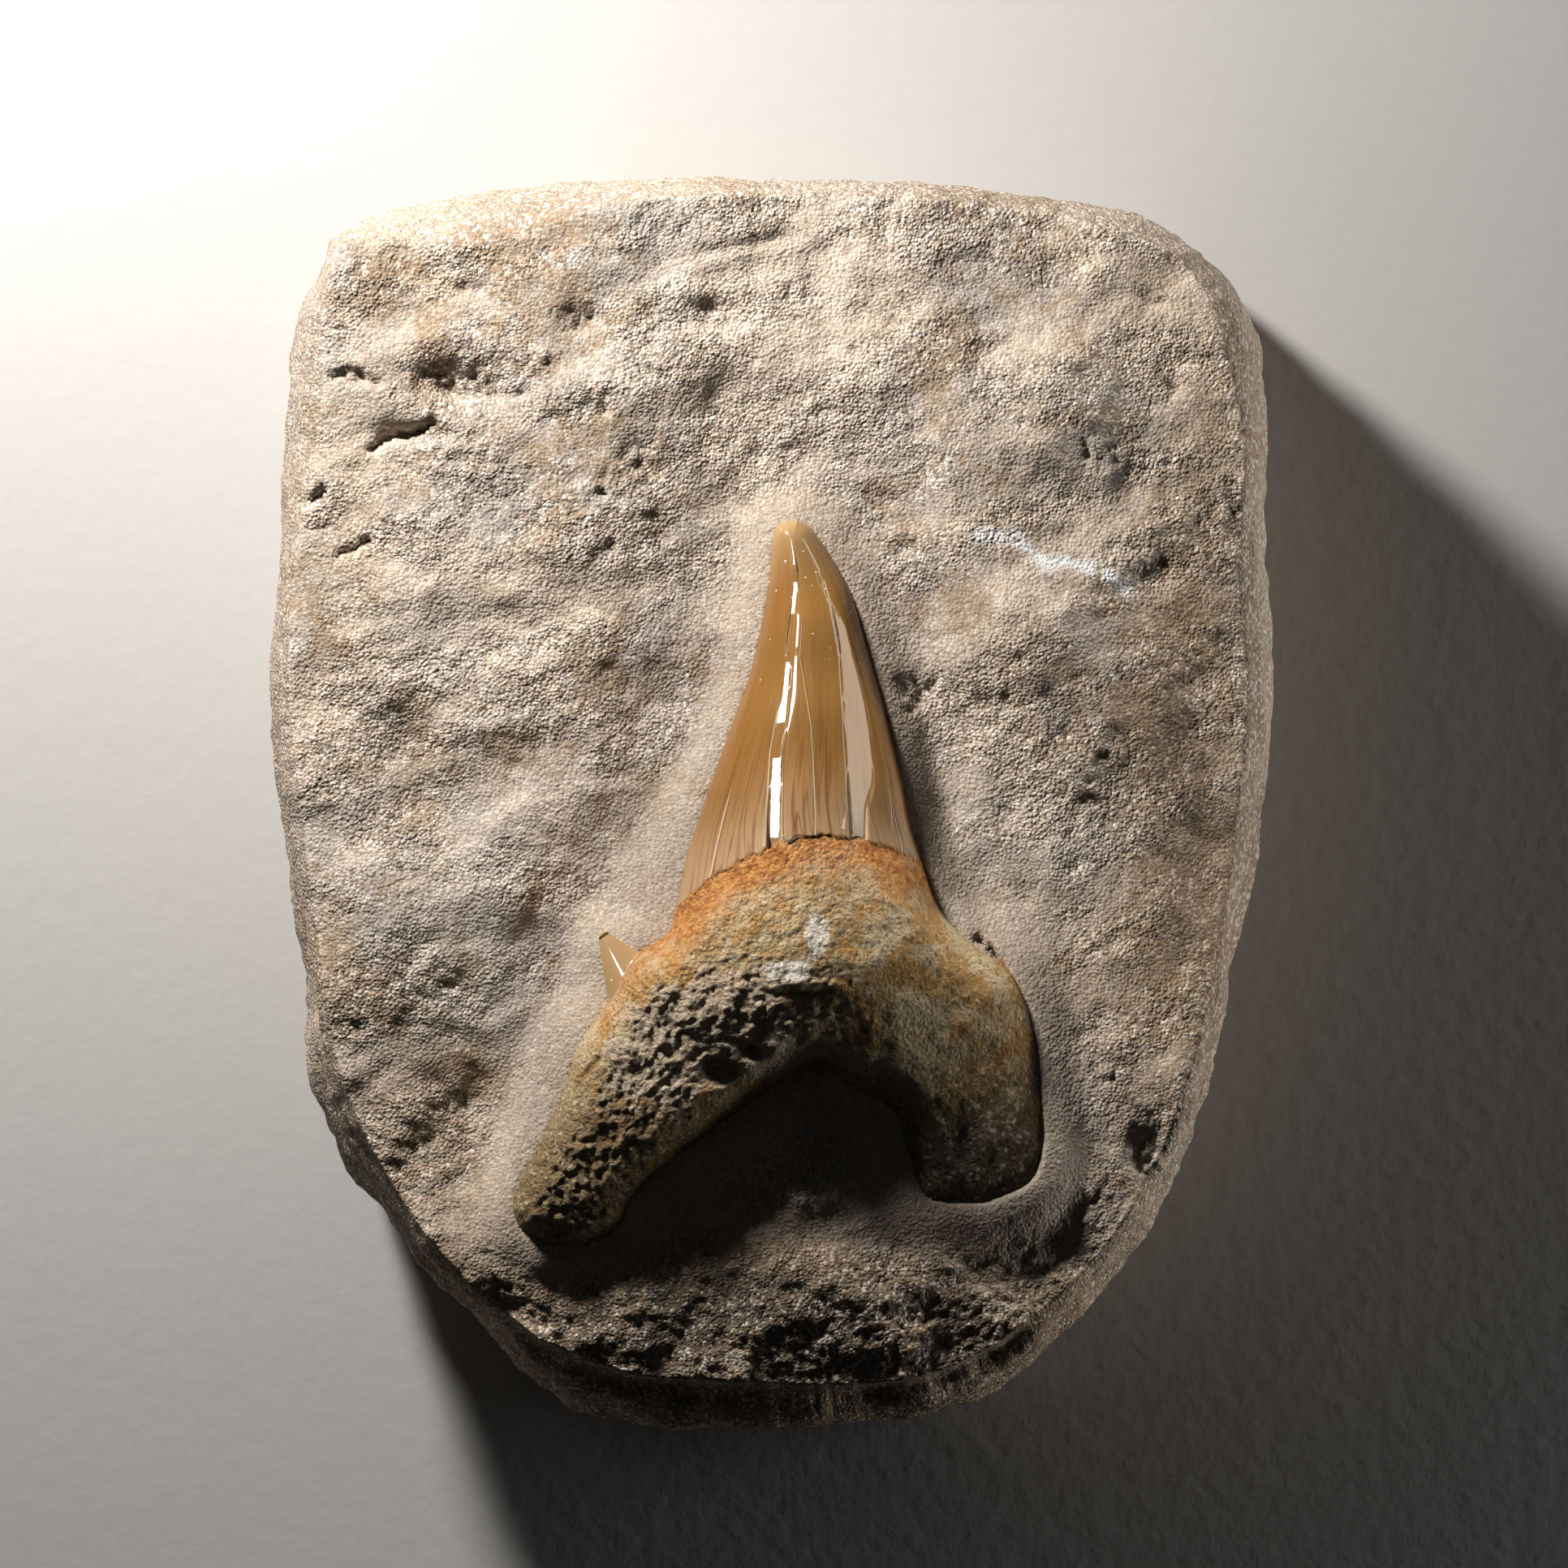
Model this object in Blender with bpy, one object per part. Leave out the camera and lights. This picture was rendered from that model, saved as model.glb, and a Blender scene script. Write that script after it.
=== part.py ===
"""A fossil shark tooth lying in the block of sandy rock that it was found in.

Metres, +Z up. The block lies on its flat back with the face up. +Y points along the crown to its
tip and +X to the right of someone who looks down at the face. The origin is on the flat back,
under the middle of the block.
"""

import math

import bmesh
import bpy
import numpy as np
from mathutils import Vector, noise

MM = 0.001

# Driving dimensions
FACE = 32.0 * MM  # from the flat back to the general level of the face
GAP = 0.3 * MM  # between the tooth and its bed in the rock
BESIDE_TOOTH = FACE - 0.15 * MM  # level of the rock right beside the tooth
COLLAR_DEPTH = 1.2 * MM  # the carved collar falls away from the tooth to a trough this deep
COLLAR_WIDTH = 3.6 * MM  # from the tooth to the trough's lowest line
COLLAR_SLOPE = 0.66  # the fall to the trough, as a share of that width
TROUGH_REACH = 6.0 * MM  # how far the trough takes to rise again to the face
CROWN_RIM_DEPTH = 0.5 * MM  # the crown's cutting edges, below the rock beside them
ROOT_RIM_DEPTH = 1.6 * MM  # the root's widest line, below the rock beside it
CROWN_BACK = 2.2 * MM  # how far the hidden side bulges down from that line
ROOT_BACK = 5.0 * MM
ENAMEL_STEP = 0.25 * MM  # the enamel stands proud of the root by this much
ROOT_ROUNDING = 3.6 * MM  # width over which the root curves down to its outline
CROWN_ROUNDING = 0.93  # the same for the crown, as a share of half its width
LEAST_ROUNDING = 1.1 * MM
CROWN_CURVE, ROOT_CURVE, BACK_CURVE = 0.62, 0.50, 0.65  # lower values make fuller domes
ROOTED_START, ROOTED_END = 0.8, 1.3  # where crown turns into root, as a share of the crown's length
FOOT_DROP = 3.3 * MM  # how far the face falls away towards the foot of the block
FOOT_START, FOOT_END = -36.0 * MM, -58.0 * MM
FOOT_LEDGES = 3
LEDGE_FLATNESS = 0.25  # 0 makes an even slope and 1 makes level ledges
FOOT_CALM = 0.6  # how much smaller the face's lumps become on the way to the foot
FOOT_EDGE_START, FOOT_EDGE_END = -43.0 * MM, -47.0 * MM  # where the flank takes the foot's profile

# Unevenness: height, size of its lumps and where its pattern starts
FACE_WAVES = (1.0 * MM, 24.0 * MM, 3.1)
FACE_LUMPS = (0.55 * MM, 7.0 * MM, 8.7)
ROOT_LUMPS = (0.22 * MM, 4.0 * MM, 5.3)
FLANK_WAVES = (1.3 * MM, 22.0 * MM, 1.7)
FLANK_LUMPS = (1.0 * MM, 9.0 * MM, 6.2)
FLANK_STRETCH = 3.0  # how much wider than high the flank's lumps are
FLANK_INSET = 0.39 * MM
FLANK_CALM = 0.5  # how much smaller the flank's lumps are at the top of the block than at its foot
CALM_START, CALM_END = -20.0 * MM, 15.0 * MM
FOOT_WANDER = (2.5 * MM, 7.0 * MM, 4.4)
FOOT_SHARE, FOOT_RAGGED = 0.7, (0.6, 11.0 * MM, 2.9)  # how much of the foot's profile the flank takes
CRISPNESS, FINENESS, OCTAVES = 0.9, 2.0, 3  # how each lump breaks up into smaller ones

# How finely each piece is divided
BLOCK_COLUMNS, BLOCK_ROWS = 36, 44
TOOTH_COLUMNS, CROWN_ROWS, ROOT_ROWS = 18, 15, 17
CURVE_STEPS = 16
LEAST_WEIGHT, LEAST_SQUARE = 1e-9, 1e-18  # keep divisions defined far from every spot and at a corner
LONGEST_MOVE = 1.8  # a sharp corner of the bed moves out by at most this many gap widths
SHARP_ANGLE = math.radians(40)

# Edge of the face in millimetres, side by side; top and foot run left to right
FACE_TOP = [
    (-37.5, 48.6), (-31.5, 48.7), (-27.0, 48.3), (-22.0, 49.2), (-17.0, 51.0), (-10.0, 52.4),
    (0.0, 52.7), (12.0, 52.4), (22.0, 51.4), (29.0, 49.9), (34.9, 47.6),
]
FACE_RIGHT = [
    (34.9, 47.6), (37.8, 43.4), (39.6, 37.0), (40.7, 30.0), (40.2, 20.0), (40.9, 9.5),
    (39.8, -3.0), (38.0, -14.0), (36.0, -22.5), (32.8, -31.5), (27.5, -39.5), (19.5, -46.4),
]
FACE_FOOT = [(-20.0, -46.0), (-12.0, -48.9), (-3.0, -49.6), (6.0, -49.9), (13.5, -49.0), (19.5, -46.4)]
FACE_LEFT = [
    (-37.5, 48.6), (-38.5, 43.5), (-38.7, 35.0), (-39.8, 27.5), (-41.3, 19.0), (-41.5, 10.0),
    (-40.4, 0.0), (-39.0, -12.0), (-36.9, -23.5), (-32.4, -33.0), (-26.5, -40.5), (-20.0, -46.0),
]

# The block's widest line, part of the way down its flanks
RIM_TOP = [
    (-38.9, 49.9), (-35.6, 52.0), (-31.0, 53.2), (-23.5, 54.1), (-14.5, 54.7), (-2.8, 54.8),
    (8.0, 54.6), (18.5, 54.0), (26.2, 52.8), (33.5, 51.2), (37.6, 48.6),
]
RIM_RIGHT = [
    (37.6, 48.6), (40.4, 45.4), (42.3, 41.3), (43.2, 34.5), (43.6, 23.0), (44.0, 10.0),
    (42.6, -1.5), (41.1, -11.5), (39.1, -20.0), (36.9, -28.6), (33.4, -36.2), (28.4, -43.0),
    (21.6, -50.2),
]
RIM_FOOT = [
    (-22.0, -49.6), (-16.9, -53.0), (-10.0, -54.6), (0.0, -54.8), (9.2, -54.8), (16.2, -53.5),
    (21.6, -50.2),
]
RIM_LEFT = [
    (-38.9, 49.9), (-39.8, 46.8), (-41.7, 43.4), (-42.3, 35.0), (-42.8, 24.0), (-44.0, 12.5),
    (-43.2, 3.0), (-42.2, -7.0), (-40.6, -15.0), (-39.2, -24.8), (-36.6, -31.2), (-31.5, -38.8),
    (-22.0, -49.6),
]

# Outline of the tooth in millimetres. The crown's sides run down from the tip to the enamel line.
CROWN_LEFT = [
    (2.2, 24.9), (0.8, 24.6), (0.0, 23.4), (-0.4, 19.5), (-1.1, 15.3), (-2.1, 11.2), (-3.9, 6.2),
    (-6.0, 0.3), (-7.6, -4.6), (-8.4, -8.7),
]
CROWN_RIGHT = [
    (2.2, 24.9), (3.5, 24.1), (5.1, 21.9), (6.9, 18.6), (8.5, 13.2), (9.8, 8.6), (11.2, 2.5),
    (12.0, -1.6), (13.0, -4.7),
]
ENAMEL_LINE = [
    (-8.4, -8.7), (-5.2, -6.0), (-1.7, -4.0), (1.6, -2.8), (5.0, -2.3), (9.4, -3.1), (13.0, -4.7),
]
ROOT_LEFT = [
    (-8.4, -8.7), (-9.2, -10.9), (-12.2, -12.9), (-14.0, -16.4), (-16.8, -20.5), (-18.2, -24.7),
    (-20.3, -29.0), (-22.4, -33.2), (-22.4, -36.0), (-19.9, -38.2),
]
ROOT_RIGHT = [
    (13.0, -4.7), (14.5, -8.6), (17.3, -11.6), (21.1, -14.4), (23.1, -19.4), (23.9, -25.0),
    (24.2, -29.2), (22.8, -32.9), (18.4, -34.9),
]
ROOT_BASE = [
    (-19.9, -38.2), (-16.5, -38.4), (-13.2, -36.8), (-11.3, -33.1), (-7.0, -29.4), (-2.5, -26.2),
    (1.0, -23.8), (3.8, -22.4), (6.6, -24.3), (10.2, -26.3), (11.4, -30.2), (13.0, -34.2),
    (18.4, -34.9),
]

# Heights in millimetres that the crown's face reaches above the rock beside it: x, y, height
CROWN_HEIGHTS = [
    (2.4, 24.0, 1.5), (2.2, 21.0, 2.4), (2.6, 14.0, 3.4), (2.6, 6.0, 4.4), (2.4, -1.5, 5.4),
    (-5.0, -4.5, 4.8), (9.5, -2.0, 5.2), (2.8, -7.0, 9.2), (-7.0, -9.0, 6.8), (12.0, -8.0, 7.6),
]
HEIGHT_SPREAD = 4.5 * MM
# The same for the root's face
ROOT_HEIGHTS = [
    (2.6, 6.0, 3.6), (2.4, -1.5, 6.0), (-5.0, -4.5, 5.2), (9.5, -2.0, 5.2), (2.8, -7.0, 8.3),
    (-7.0, -9.0, 6.4), (12.0, -8.0, 6.2), (-4.0, -12.5, 8.2), (3.5, -11.5, 9.3), (-3.6, -16.8, 8.0),
    (1.0, -16.3, 8.4), (6.0, -15.5, 8.4), (-9.2, -13.6, 7.3), (-9.8, -20.9, 6.4), (-14.0, -20.0, 6.0),
    (-3.6, -20.7, 6.8), (-7.0, -25.2, 5.8), (-12.8, -24.0, 5.5), (-10.4, -28.6, 4.8), (-17.0, -27.5, 4.2),
    (-15.5, -31.0, 3.5), (-19.0, -34.0, 2.6), (-11.8, -34.5, 2.6), (13.0, -13.0, 6.3), (9.5, -15.0, 7.6),
    (12.5, -16.8, 6.2), (18.0, -17.5, 3.8), (15.0, -20.5, 4.5), (12.0, -22.0, 4.9), (9.0, -20.5, 5.9),
    (20.0, -22.5, 2.4), (15.5, -24.0, 3.4), (17.0, -28.0, 2.1), (20.0, -28.5, 1.4), (17.5, -32.0, 1.1),
    (12.5, -29.0, 2.4), (5.0, -20.5, 6.4), (0.0, -22.5, 5.8),
]

# The side cusplet, a small flattened spike at the root's left shoulder
CUSPLET_TIP = (-14.7 * MM, -10.7 * MM, BESIDE_TOOTH + 0.4 * MM)
CUSPLET_FOOT = (-11.6 * MM, -15.2 * MM, BESIDE_TOOTH + 0.9 * MM)
CUSPLET_WIDTH, CUSPLET_DEPTH = 5.8 * MM, 2.6 * MM
CUSPLET_SIDES = 10
CUSPLET_RINGS = (0.0, 0.35, 0.7, 0.92)  # shares of the way from its foot to its tip

# The flank from the face's edge down: share of the way out to the rim, share of the height left
SIDE_PROFILE = [
    (0.2, 0.985), (0.6, 0.92), (0.9, 0.79), (1.0, 0.62), (1.0, 0.44), (0.985, 0.26), (0.965, 0.08),
    (0.94, 0.0),
]
FOOT_PROFILE = [
    (0.06, 0.91), (0.2, 0.83), (0.72, 0.79), (1.0, 0.64), (1.0, 0.46), (0.98, 0.26), (0.95, 0.08),
    (0.92, 0.0),
]

# Where the rock differs from its general level, in millimetres: x, y, reach across, reach up, rise
ROCK_FORMS = [
    (-27.0, 36.5, 4.2, 2.2, -1.4),  # pitted hollow, upper left
    (-31.0, 32.3, 3.4, 0.9, -0.8),  # deep crack beside it
    (-13.5, 37.0, 6.0, 3.0, 0.7),  # swelling between the hollow and the dent
    (-5.0, 42.3, 3.0, 1.6, -0.9),  # dent below the top edge
    (12.2, 9.8, 2.4, 1.8, -0.6),  # ledge to the right of the crown
    (20.0, 14.0, 8.0, 7.0, 1.1),  # broad swelling to the right of the crown
    (29.0, -1.0, 6.0, 8.0, -0.8),  # hollow between the swelling and the right edge
    (-24.0, 4.0, 8.0, 6.0, -1.0),  # broad hollow to the left of the crown
    (-20.0, 22.0, 7.0, 4.5, 0.8),  # swelling above that hollow
    (-33.0, -12.0, 4.0, 8.0, 0.8),  # long swelling near the left edge
    (24.0, 36.0, 8.0, 5.0, 0.7),  # swelling, upper right
    (33.0, 27.0, 4.0, 3.0, -0.8),  # hollow near the right edge
    (32.8, -30.5, 1.8, 3.8, -0.7),  # pits near the lower right edge
    (16.5, -48.0, 3.0, 4.0, -2.6),  # recess in the foot's right corner
    (-23.5, -43.5, 2.6, 1.8, -1.8),  # notch in the foot's left corner
    (31.0, -44.0, 12.0, 13.0, -2.0),  # fall towards the lower right corner
    (43.0, 0.0, 7.0, 22.0, -1.8),  # long fall towards the right edge
]
# Rock left standing near the tooth, in millimetres: x, y, reach across, reach up, rise
MOUNDS = [
    (4.0, -28.0, 8.0, 5.5, 0.8),  # between the root's lobes
    (-13.4, -11.6, 3.0, 2.6, 0.7),  # under the cusplet
    (14.4, 2.0, 2.4, 9.0, -0.8),  # a deeper stretch of the trough, right of the crown
]

# Where the collar is wider, in millimetres: x, y, reach across, reach up, extra width
COLLAR_FORMS = [
    (-12.0, -7.0, 8.0, 7.0, 4.0),  # left of the enamel line
    (-19.0, -22.0, 6.0, 8.0, 2.0),  # left of the root
    (4.0, -33.0, 16.0, 8.0, 2.0),  # below the root
]

ROCK_LOOK = (0.53, 0.46, 0.37), 0.95
TOOTH_LOOK = (0.50, 0.31, 0.12), 0.40


def clear_scene():
    """Remove whatever the file opened with."""
    for thing in list(bpy.data.objects):
        bpy.data.objects.remove(thing)


def smoothstep(low, high, value):
    """0 below low, 1 above high and a smooth rise between them."""
    share = np.clip((value - low) / (high - low), 0.0, 1.0)
    return share * share * (3.0 - 2.0 * share)


def curve_through(points, shares):
    """Points on a smooth curve through the given millimetre points, at shares of its length."""
    knots = np.array(points) * MM
    padded = np.vstack([2 * knots[0] - knots[1], knots, 2 * knots[-1] - knots[-2]])
    step = np.linspace(0.0, 1.0, CURVE_STEPS, endpoint=False)[:, None]
    spans = []
    for before, start, end, after in zip(padded, padded[1:], padded[2:], padded[3:]):
        bend = 2 * before - 5 * start + 4 * end - after
        twist = 3 * start - before - 3 * end + after
        spans.append(start + 0.5 * ((end - before) * step + bend * step**2 + twist * step**3))
    dense = np.vstack([*spans, knots[-1:]])
    lengths = np.linalg.norm(np.diff(dense, axis=0), axis=1)
    run = np.concatenate([[0.0], np.cumsum(lengths)])
    at = np.asarray(shares) * run[-1]
    return np.column_stack([np.interp(at, run, dense[:, axis]) for axis in range(2)])


def patch(top, foot, left, right, across, down):
    """A grid of points between four edges; across and down are the shares of its columns and rows."""
    top, foot = curve_through(top, across), curve_through(foot, across)
    left, right = curve_through(left, down), curve_through(right, down)
    s, t = across[None, :, None], down[:, None, None]
    between_ends = (1 - t) * top[None] + t * foot[None]
    between_sides = (1 - s) * left[:, None] + s * right[:, None]
    corners = (1 - t) * ((1 - s) * top[0] + s * top[-1]) + t * ((1 - s) * foot[0] + s * foot[-1])
    return between_ends + between_sides - corners


def outline_of(grid):
    """The points round a grid's edge, clockwise from its first corner."""
    return np.vstack([grid[0, :-1], grid[:-1, -1], grid[-1, :0:-1], grid[:0:-1, 0]])


def outward(loop):
    """Unit directions in plan that point out of a clockwise loop."""
    along = np.roll(loop, -2, axis=0) - np.roll(loop, 2, axis=0)
    normal = np.column_stack([-along[:, 1], along[:, 0]])
    return normal / np.linalg.norm(normal, axis=1)[:, None]


def distance_to(points, outline):
    """How far each point is from a closed outline, negative inside it."""
    nearest = np.full(len(points), np.inf)
    inside = np.zeros(len(points), bool)
    for start, end in zip(outline, np.roll(outline, -1, axis=0)):
        side = end - start
        share = np.clip((points - start) @ side / max(side @ side, LEAST_SQUARE), 0.0, 1.0)
        nearest = np.minimum(nearest, np.linalg.norm(points - start - share[:, None] * side, axis=1))
        if start[1] != end[1]:
            crossing = start[0] + (points[:, 1] - start[1]) * side[0] / side[1]
            between = (points[:, 1] < start[1]) != (points[:, 1] < end[1])
            inside ^= between & (points[:, 0] < crossing)
    return np.where(inside, -nearest, nearest)


def blend(points, spots, spread):
    """Heights that come from the spots nearby, with a level place round each of them."""
    spots = np.array(spots) * MM
    away = np.linalg.norm(points[:, None] - spots[None, :, :2], axis=2)
    weight = np.exp(-((away / spread) ** 2)) + LEAST_WEIGHT
    return (weight * spots[:, 2]).sum(axis=1) / weight.sum(axis=1)


def surface_through(points, spots):
    """Heights of the smoothest surface that passes through all the spots."""
    spots = np.array(spots)
    plan = spots[:, :2]
    bend = np.linalg.norm(plan[:, None] - plan[None], axis=2) ** 3
    tilt = np.column_stack([np.ones(len(plan)), plan])
    system = np.block([[bend, tilt], [tilt.T, np.zeros((3, 3))]])
    weights = np.linalg.solve(system, np.concatenate([spots[:, 2], np.zeros(3)]))
    away = np.linalg.norm(points[:, None] / MM - plan[None], axis=2)
    return MM * (np.column_stack([away**3, np.ones(len(points)), points / MM]) @ weights)


def swell(points, x, y, across, up):
    """A smooth bump of height 1 whose reach is given in millimetres."""
    shifted = (points - np.array([x, y]) * MM) / (np.array([across, up]) * MM)
    return np.exp(-((shifted**2).sum(axis=1)))


def unevenness(places, height, size, start):
    """Repeatable lumps of this height and size at places in space."""
    shift = Vector((start, -start, start / 2))
    lumps = [noise.fractal(Vector(place) / size + shift, CRISPNESS, FINENESS, OCTAVES) for place in places]
    return height * np.array(lumps)


def flat_places(points):
    """Points of the plan as places in space."""
    return np.column_stack([points, np.zeros(len(points))])


def foot_fall(points):
    """How far the face has fallen towards the foot, in ledges, as a share of the whole drop."""
    wander = unevenness(flat_places(points), *FOOT_WANDER)
    share = smoothstep(FOOT_START, FOOT_END, points[:, 1] + wander)
    turns = 2 * math.pi * FOOT_LEDGES
    return share - LEDGE_FLATNESS * np.sin(turns * share) / turns


def collar_width(points):
    """How far from the tooth the trough of the carved collar lies."""
    return COLLAR_WIDTH + sum(extra * MM * swell(points, *form) for *form, extra in COLLAR_FORMS)


def rock_face(points):
    """Height of the rock's face over each point, with the collar carved round the tooth."""
    away = np.maximum(distance_to(points, outline_of(tooth_grid())), 0.0)
    width = collar_width(points)
    reach = np.where(away < width, COLLAR_SLOPE * width, TROUGH_REACH)
    height = unevenness(flat_places(points), *FACE_WAVES)
    height += unevenness(flat_places(points), *FACE_LUMPS)
    for *form, rise in ROCK_FORMS:
        height += rise * MM * swell(points, *form)
    fall = foot_fall(points)
    height *= (1 - np.exp(-((away / width) ** 2))) * (1 - FOOT_CALM * np.minimum(2 * fall, 1.0))
    height -= COLLAR_DEPTH * np.exp(-(((away - width) / reach) ** 2))
    for *form, rise in MOUNDS:
        height += rise * MM * swell(points, *form)
    return FACE + height - FOOT_DROP * fall


def flank_relief(places):
    """How far the broken flank stands out at each place: broad waves, lumps and flat-lying ledges."""
    ledges = places * np.array([1.0, 1.0, FLANK_STRETCH])
    lumps = unevenness(places, *FLANK_WAVES) + unevenness(ledges, *FLANK_LUMPS)
    return lumps * (1 - FLANK_CALM * smoothstep(CALM_START, CALM_END, places[:, 1])) - FLANK_INSET


def add_grid_faces(bm, rows, flip=False):
    """Quads between rows of vertices, or triangles where a row has shrunk to one vertex."""
    for upper, lower in zip(rows, rows[1:]):
        for left in range(len(lower) - 1):
            corners = [upper[left], lower[left], lower[left + 1], upper[left + 1]]
            corners = list(dict.fromkeys(corners))
            bm.faces.new(corners[::-1] if flip else corners)


def edge_loop(rows):
    """The vertices round a grid of them, clockwise seen from above."""
    right = [row[-1] for row in rows[:-1]]
    left = [row[0] for row in rows[:0:-1]]
    return rows[0][:-1] + right + rows[-1][:0:-1] + left


def finish(name, bm, look):
    """Turn a bmesh into an object with its own material."""
    bmesh.ops.recalc_face_normals(bm, faces=bm.faces)
    bmesh.ops.triangulate(bm, faces=[face for face in bm.faces if len(face.verts) == 4])
    mesh = bpy.data.meshes.new(name)
    bm.to_mesh(mesh)
    bm.free()
    piece = bpy.data.objects.new(name, mesh)
    bpy.context.collection.objects.link(piece)
    colour, roughness = look
    material = bpy.data.materials.new(name)
    material.use_nodes = True
    shader = material.node_tree.nodes["Principled BSDF"]
    shader.inputs["Base Color"].default_value = (*colour, 1.0)
    shader.inputs["Roughness"].default_value = roughness
    mesh.materials.append(material)
    mesh.shade_smooth()
    mesh.set_sharp_from_angle(angle=SHARP_ANGLE)
    return piece


def tooth_grid():
    """Plan of the tooth, row by row: from the tip to the enamel line, then on to the root's base."""
    even = np.linspace(0.0, 1.0, TOOTH_COLUMNS + 1)
    across = (even + (1 - np.cos(np.pi * even)) / 2) / 2
    crown_down = np.linspace(0.0, 1.0, CROWN_ROWS + 1)
    root_down = np.linspace(0.0, 1.0, ROOT_ROWS + 1)
    tip = [CROWN_LEFT[0], CROWN_LEFT[0]]
    crown = patch(tip, ENAMEL_LINE, CROWN_LEFT, CROWN_RIGHT, across, crown_down)
    root = patch(ENAMEL_LINE, ROOT_BASE, ROOT_LEFT, ROOT_RIGHT, across, root_down)
    return np.vstack([crown, root[1:]])


def tooth_heights(grid):
    """Heights of the tooth's face and hidden back over each point of its grid."""
    points = grid.reshape(-1, 2)
    edge = np.maximum(-distance_to(points, outline_of(grid)), 0.0).reshape(grid.shape[:2])
    row = np.arange(len(grid))[:, None]
    rooted = smoothstep(ROOTED_START, ROOTED_END, row / CROWN_ROWS)
    half_width = np.linalg.norm(grid[:, -1] - grid[:, 0], axis=1)[:, None] / 2
    crown_rounding = np.maximum(CROWN_ROUNDING * half_width, LEAST_ROUNDING)
    rounding = crown_rounding + rooted * (ROOT_ROUNDING - crown_rounding)
    dome = 1 - (1 - np.clip(edge / rounding, 0.0, 1.0)) ** 2
    crown_rise = blend(points, CROWN_HEIGHTS, HEIGHT_SPREAD).reshape(dome.shape)
    root_rise = surface_through(points, ROOT_HEIGHTS) + unevenness(flat_places(points), *ROOT_LUMPS)
    rise = crown_rise + rooted * (root_rise.reshape(dome.shape) - crown_rise)
    rise -= ENAMEL_STEP * (row > CROWN_ROWS)
    rim_depth = CROWN_RIM_DEPTH + rooted * (ROOT_RIM_DEPTH - CROWN_RIM_DEPTH)
    rim = BESIDE_TOOTH - rim_depth
    back_depth = CROWN_BACK + rooted * (ROOT_BACK - CROWN_BACK)
    curve = CROWN_CURVE + rooted * (ROOT_CURVE - CROWN_CURVE)
    return rim + (rise + rim_depth) * dome**curve, rim - back_depth * dome**BACK_CURVE


def tooth_body():
    """The closed skin of crown and root: a face and a back that meet along the outline."""
    grid = tooth_grid()
    face, back = tooth_heights(grid)
    bm = bmesh.new()
    tip = bm.verts.new((*grid[0, 0], face[0, 0]))
    face_rows, back_rows = [[tip] * len(grid[0])], [[tip] * len(grid[0])]
    for points, high, low in zip(grid[1:], face[1:], back[1:]):
        above = [bm.verts.new((*point, z)) for point, z in zip(points, high)]
        below = [bm.verts.new((*point, z)) for point, z in zip(points[1:-1], low[1:-1])]
        face_rows.append(above)
        back_rows.append([above[0], *below, above[-1]])
    for vertex in back_rows[-1][1:-1]:
        bm.verts.remove(vertex)
    back_rows[-1] = face_rows[-1]
    add_grid_faces(bm, face_rows)
    add_grid_faces(bm, back_rows, flip=True)
    return bm


def cusplet_body():
    """A small flattened cone, sunk in the root's shoulder by its wide end."""
    bm = bmesh.new()
    foot, tip = Vector(CUSPLET_FOOT), Vector(CUSPLET_TIP)
    along = (tip - foot).normalized()
    side = along.cross(Vector((0.0, 0.0, 1.0))).normalized()
    up = side.cross(along)
    rings = []
    for share in CUSPLET_RINGS:
        middle = foot.lerp(tip, share)
        across = side * (CUSPLET_WIDTH / 2 * (1 - share))
        over = up * (CUSPLET_DEPTH / 2 * (1 - share))
        ring = []
        for corner in range(CUSPLET_SIDES):
            turn = 2 * math.pi * corner / CUSPLET_SIDES
            ring.append(bm.verts.new(middle + across * math.cos(turn) + over * math.sin(turn)))
        rings.append(ring)
    point = bm.verts.new(tip)
    for lower, upper in zip(rings, rings[1:]):
        add_grid_faces(bm, [lower + lower[:1], upper + upper[:1]])
    for start, end in zip(rings[-1], rings[-1][1:] + rings[-1][:1]):
        bm.faces.new((start, end, point))
    bm.faces.new(rings[0])
    return bm


def swollen(bm, width):
    """The same skin, moved out by this width."""
    bmesh.ops.recalc_face_normals(bm, faces=bm.faces)
    bm.normal_update()
    moves = []
    for vertex in bm.verts:
        moves.append(vertex.normal * width * min(vertex.calc_shell_factor(), LONGEST_MOVE))
    for vertex, move in zip(bm.verts, moves):
        vertex.co += move
    return bm


def combine(piece, tool, operation):
    """Join a tool to a piece, or cut it out of the piece, and keep the tool as a guide."""
    boolean = piece.modifiers.new(operation.lower(), "BOOLEAN")
    boolean.operation = operation
    boolean.solver = "EXACT"
    boolean.object = tool
    tool.hide_render = True
    tool.display_type = "WIRE"


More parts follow.
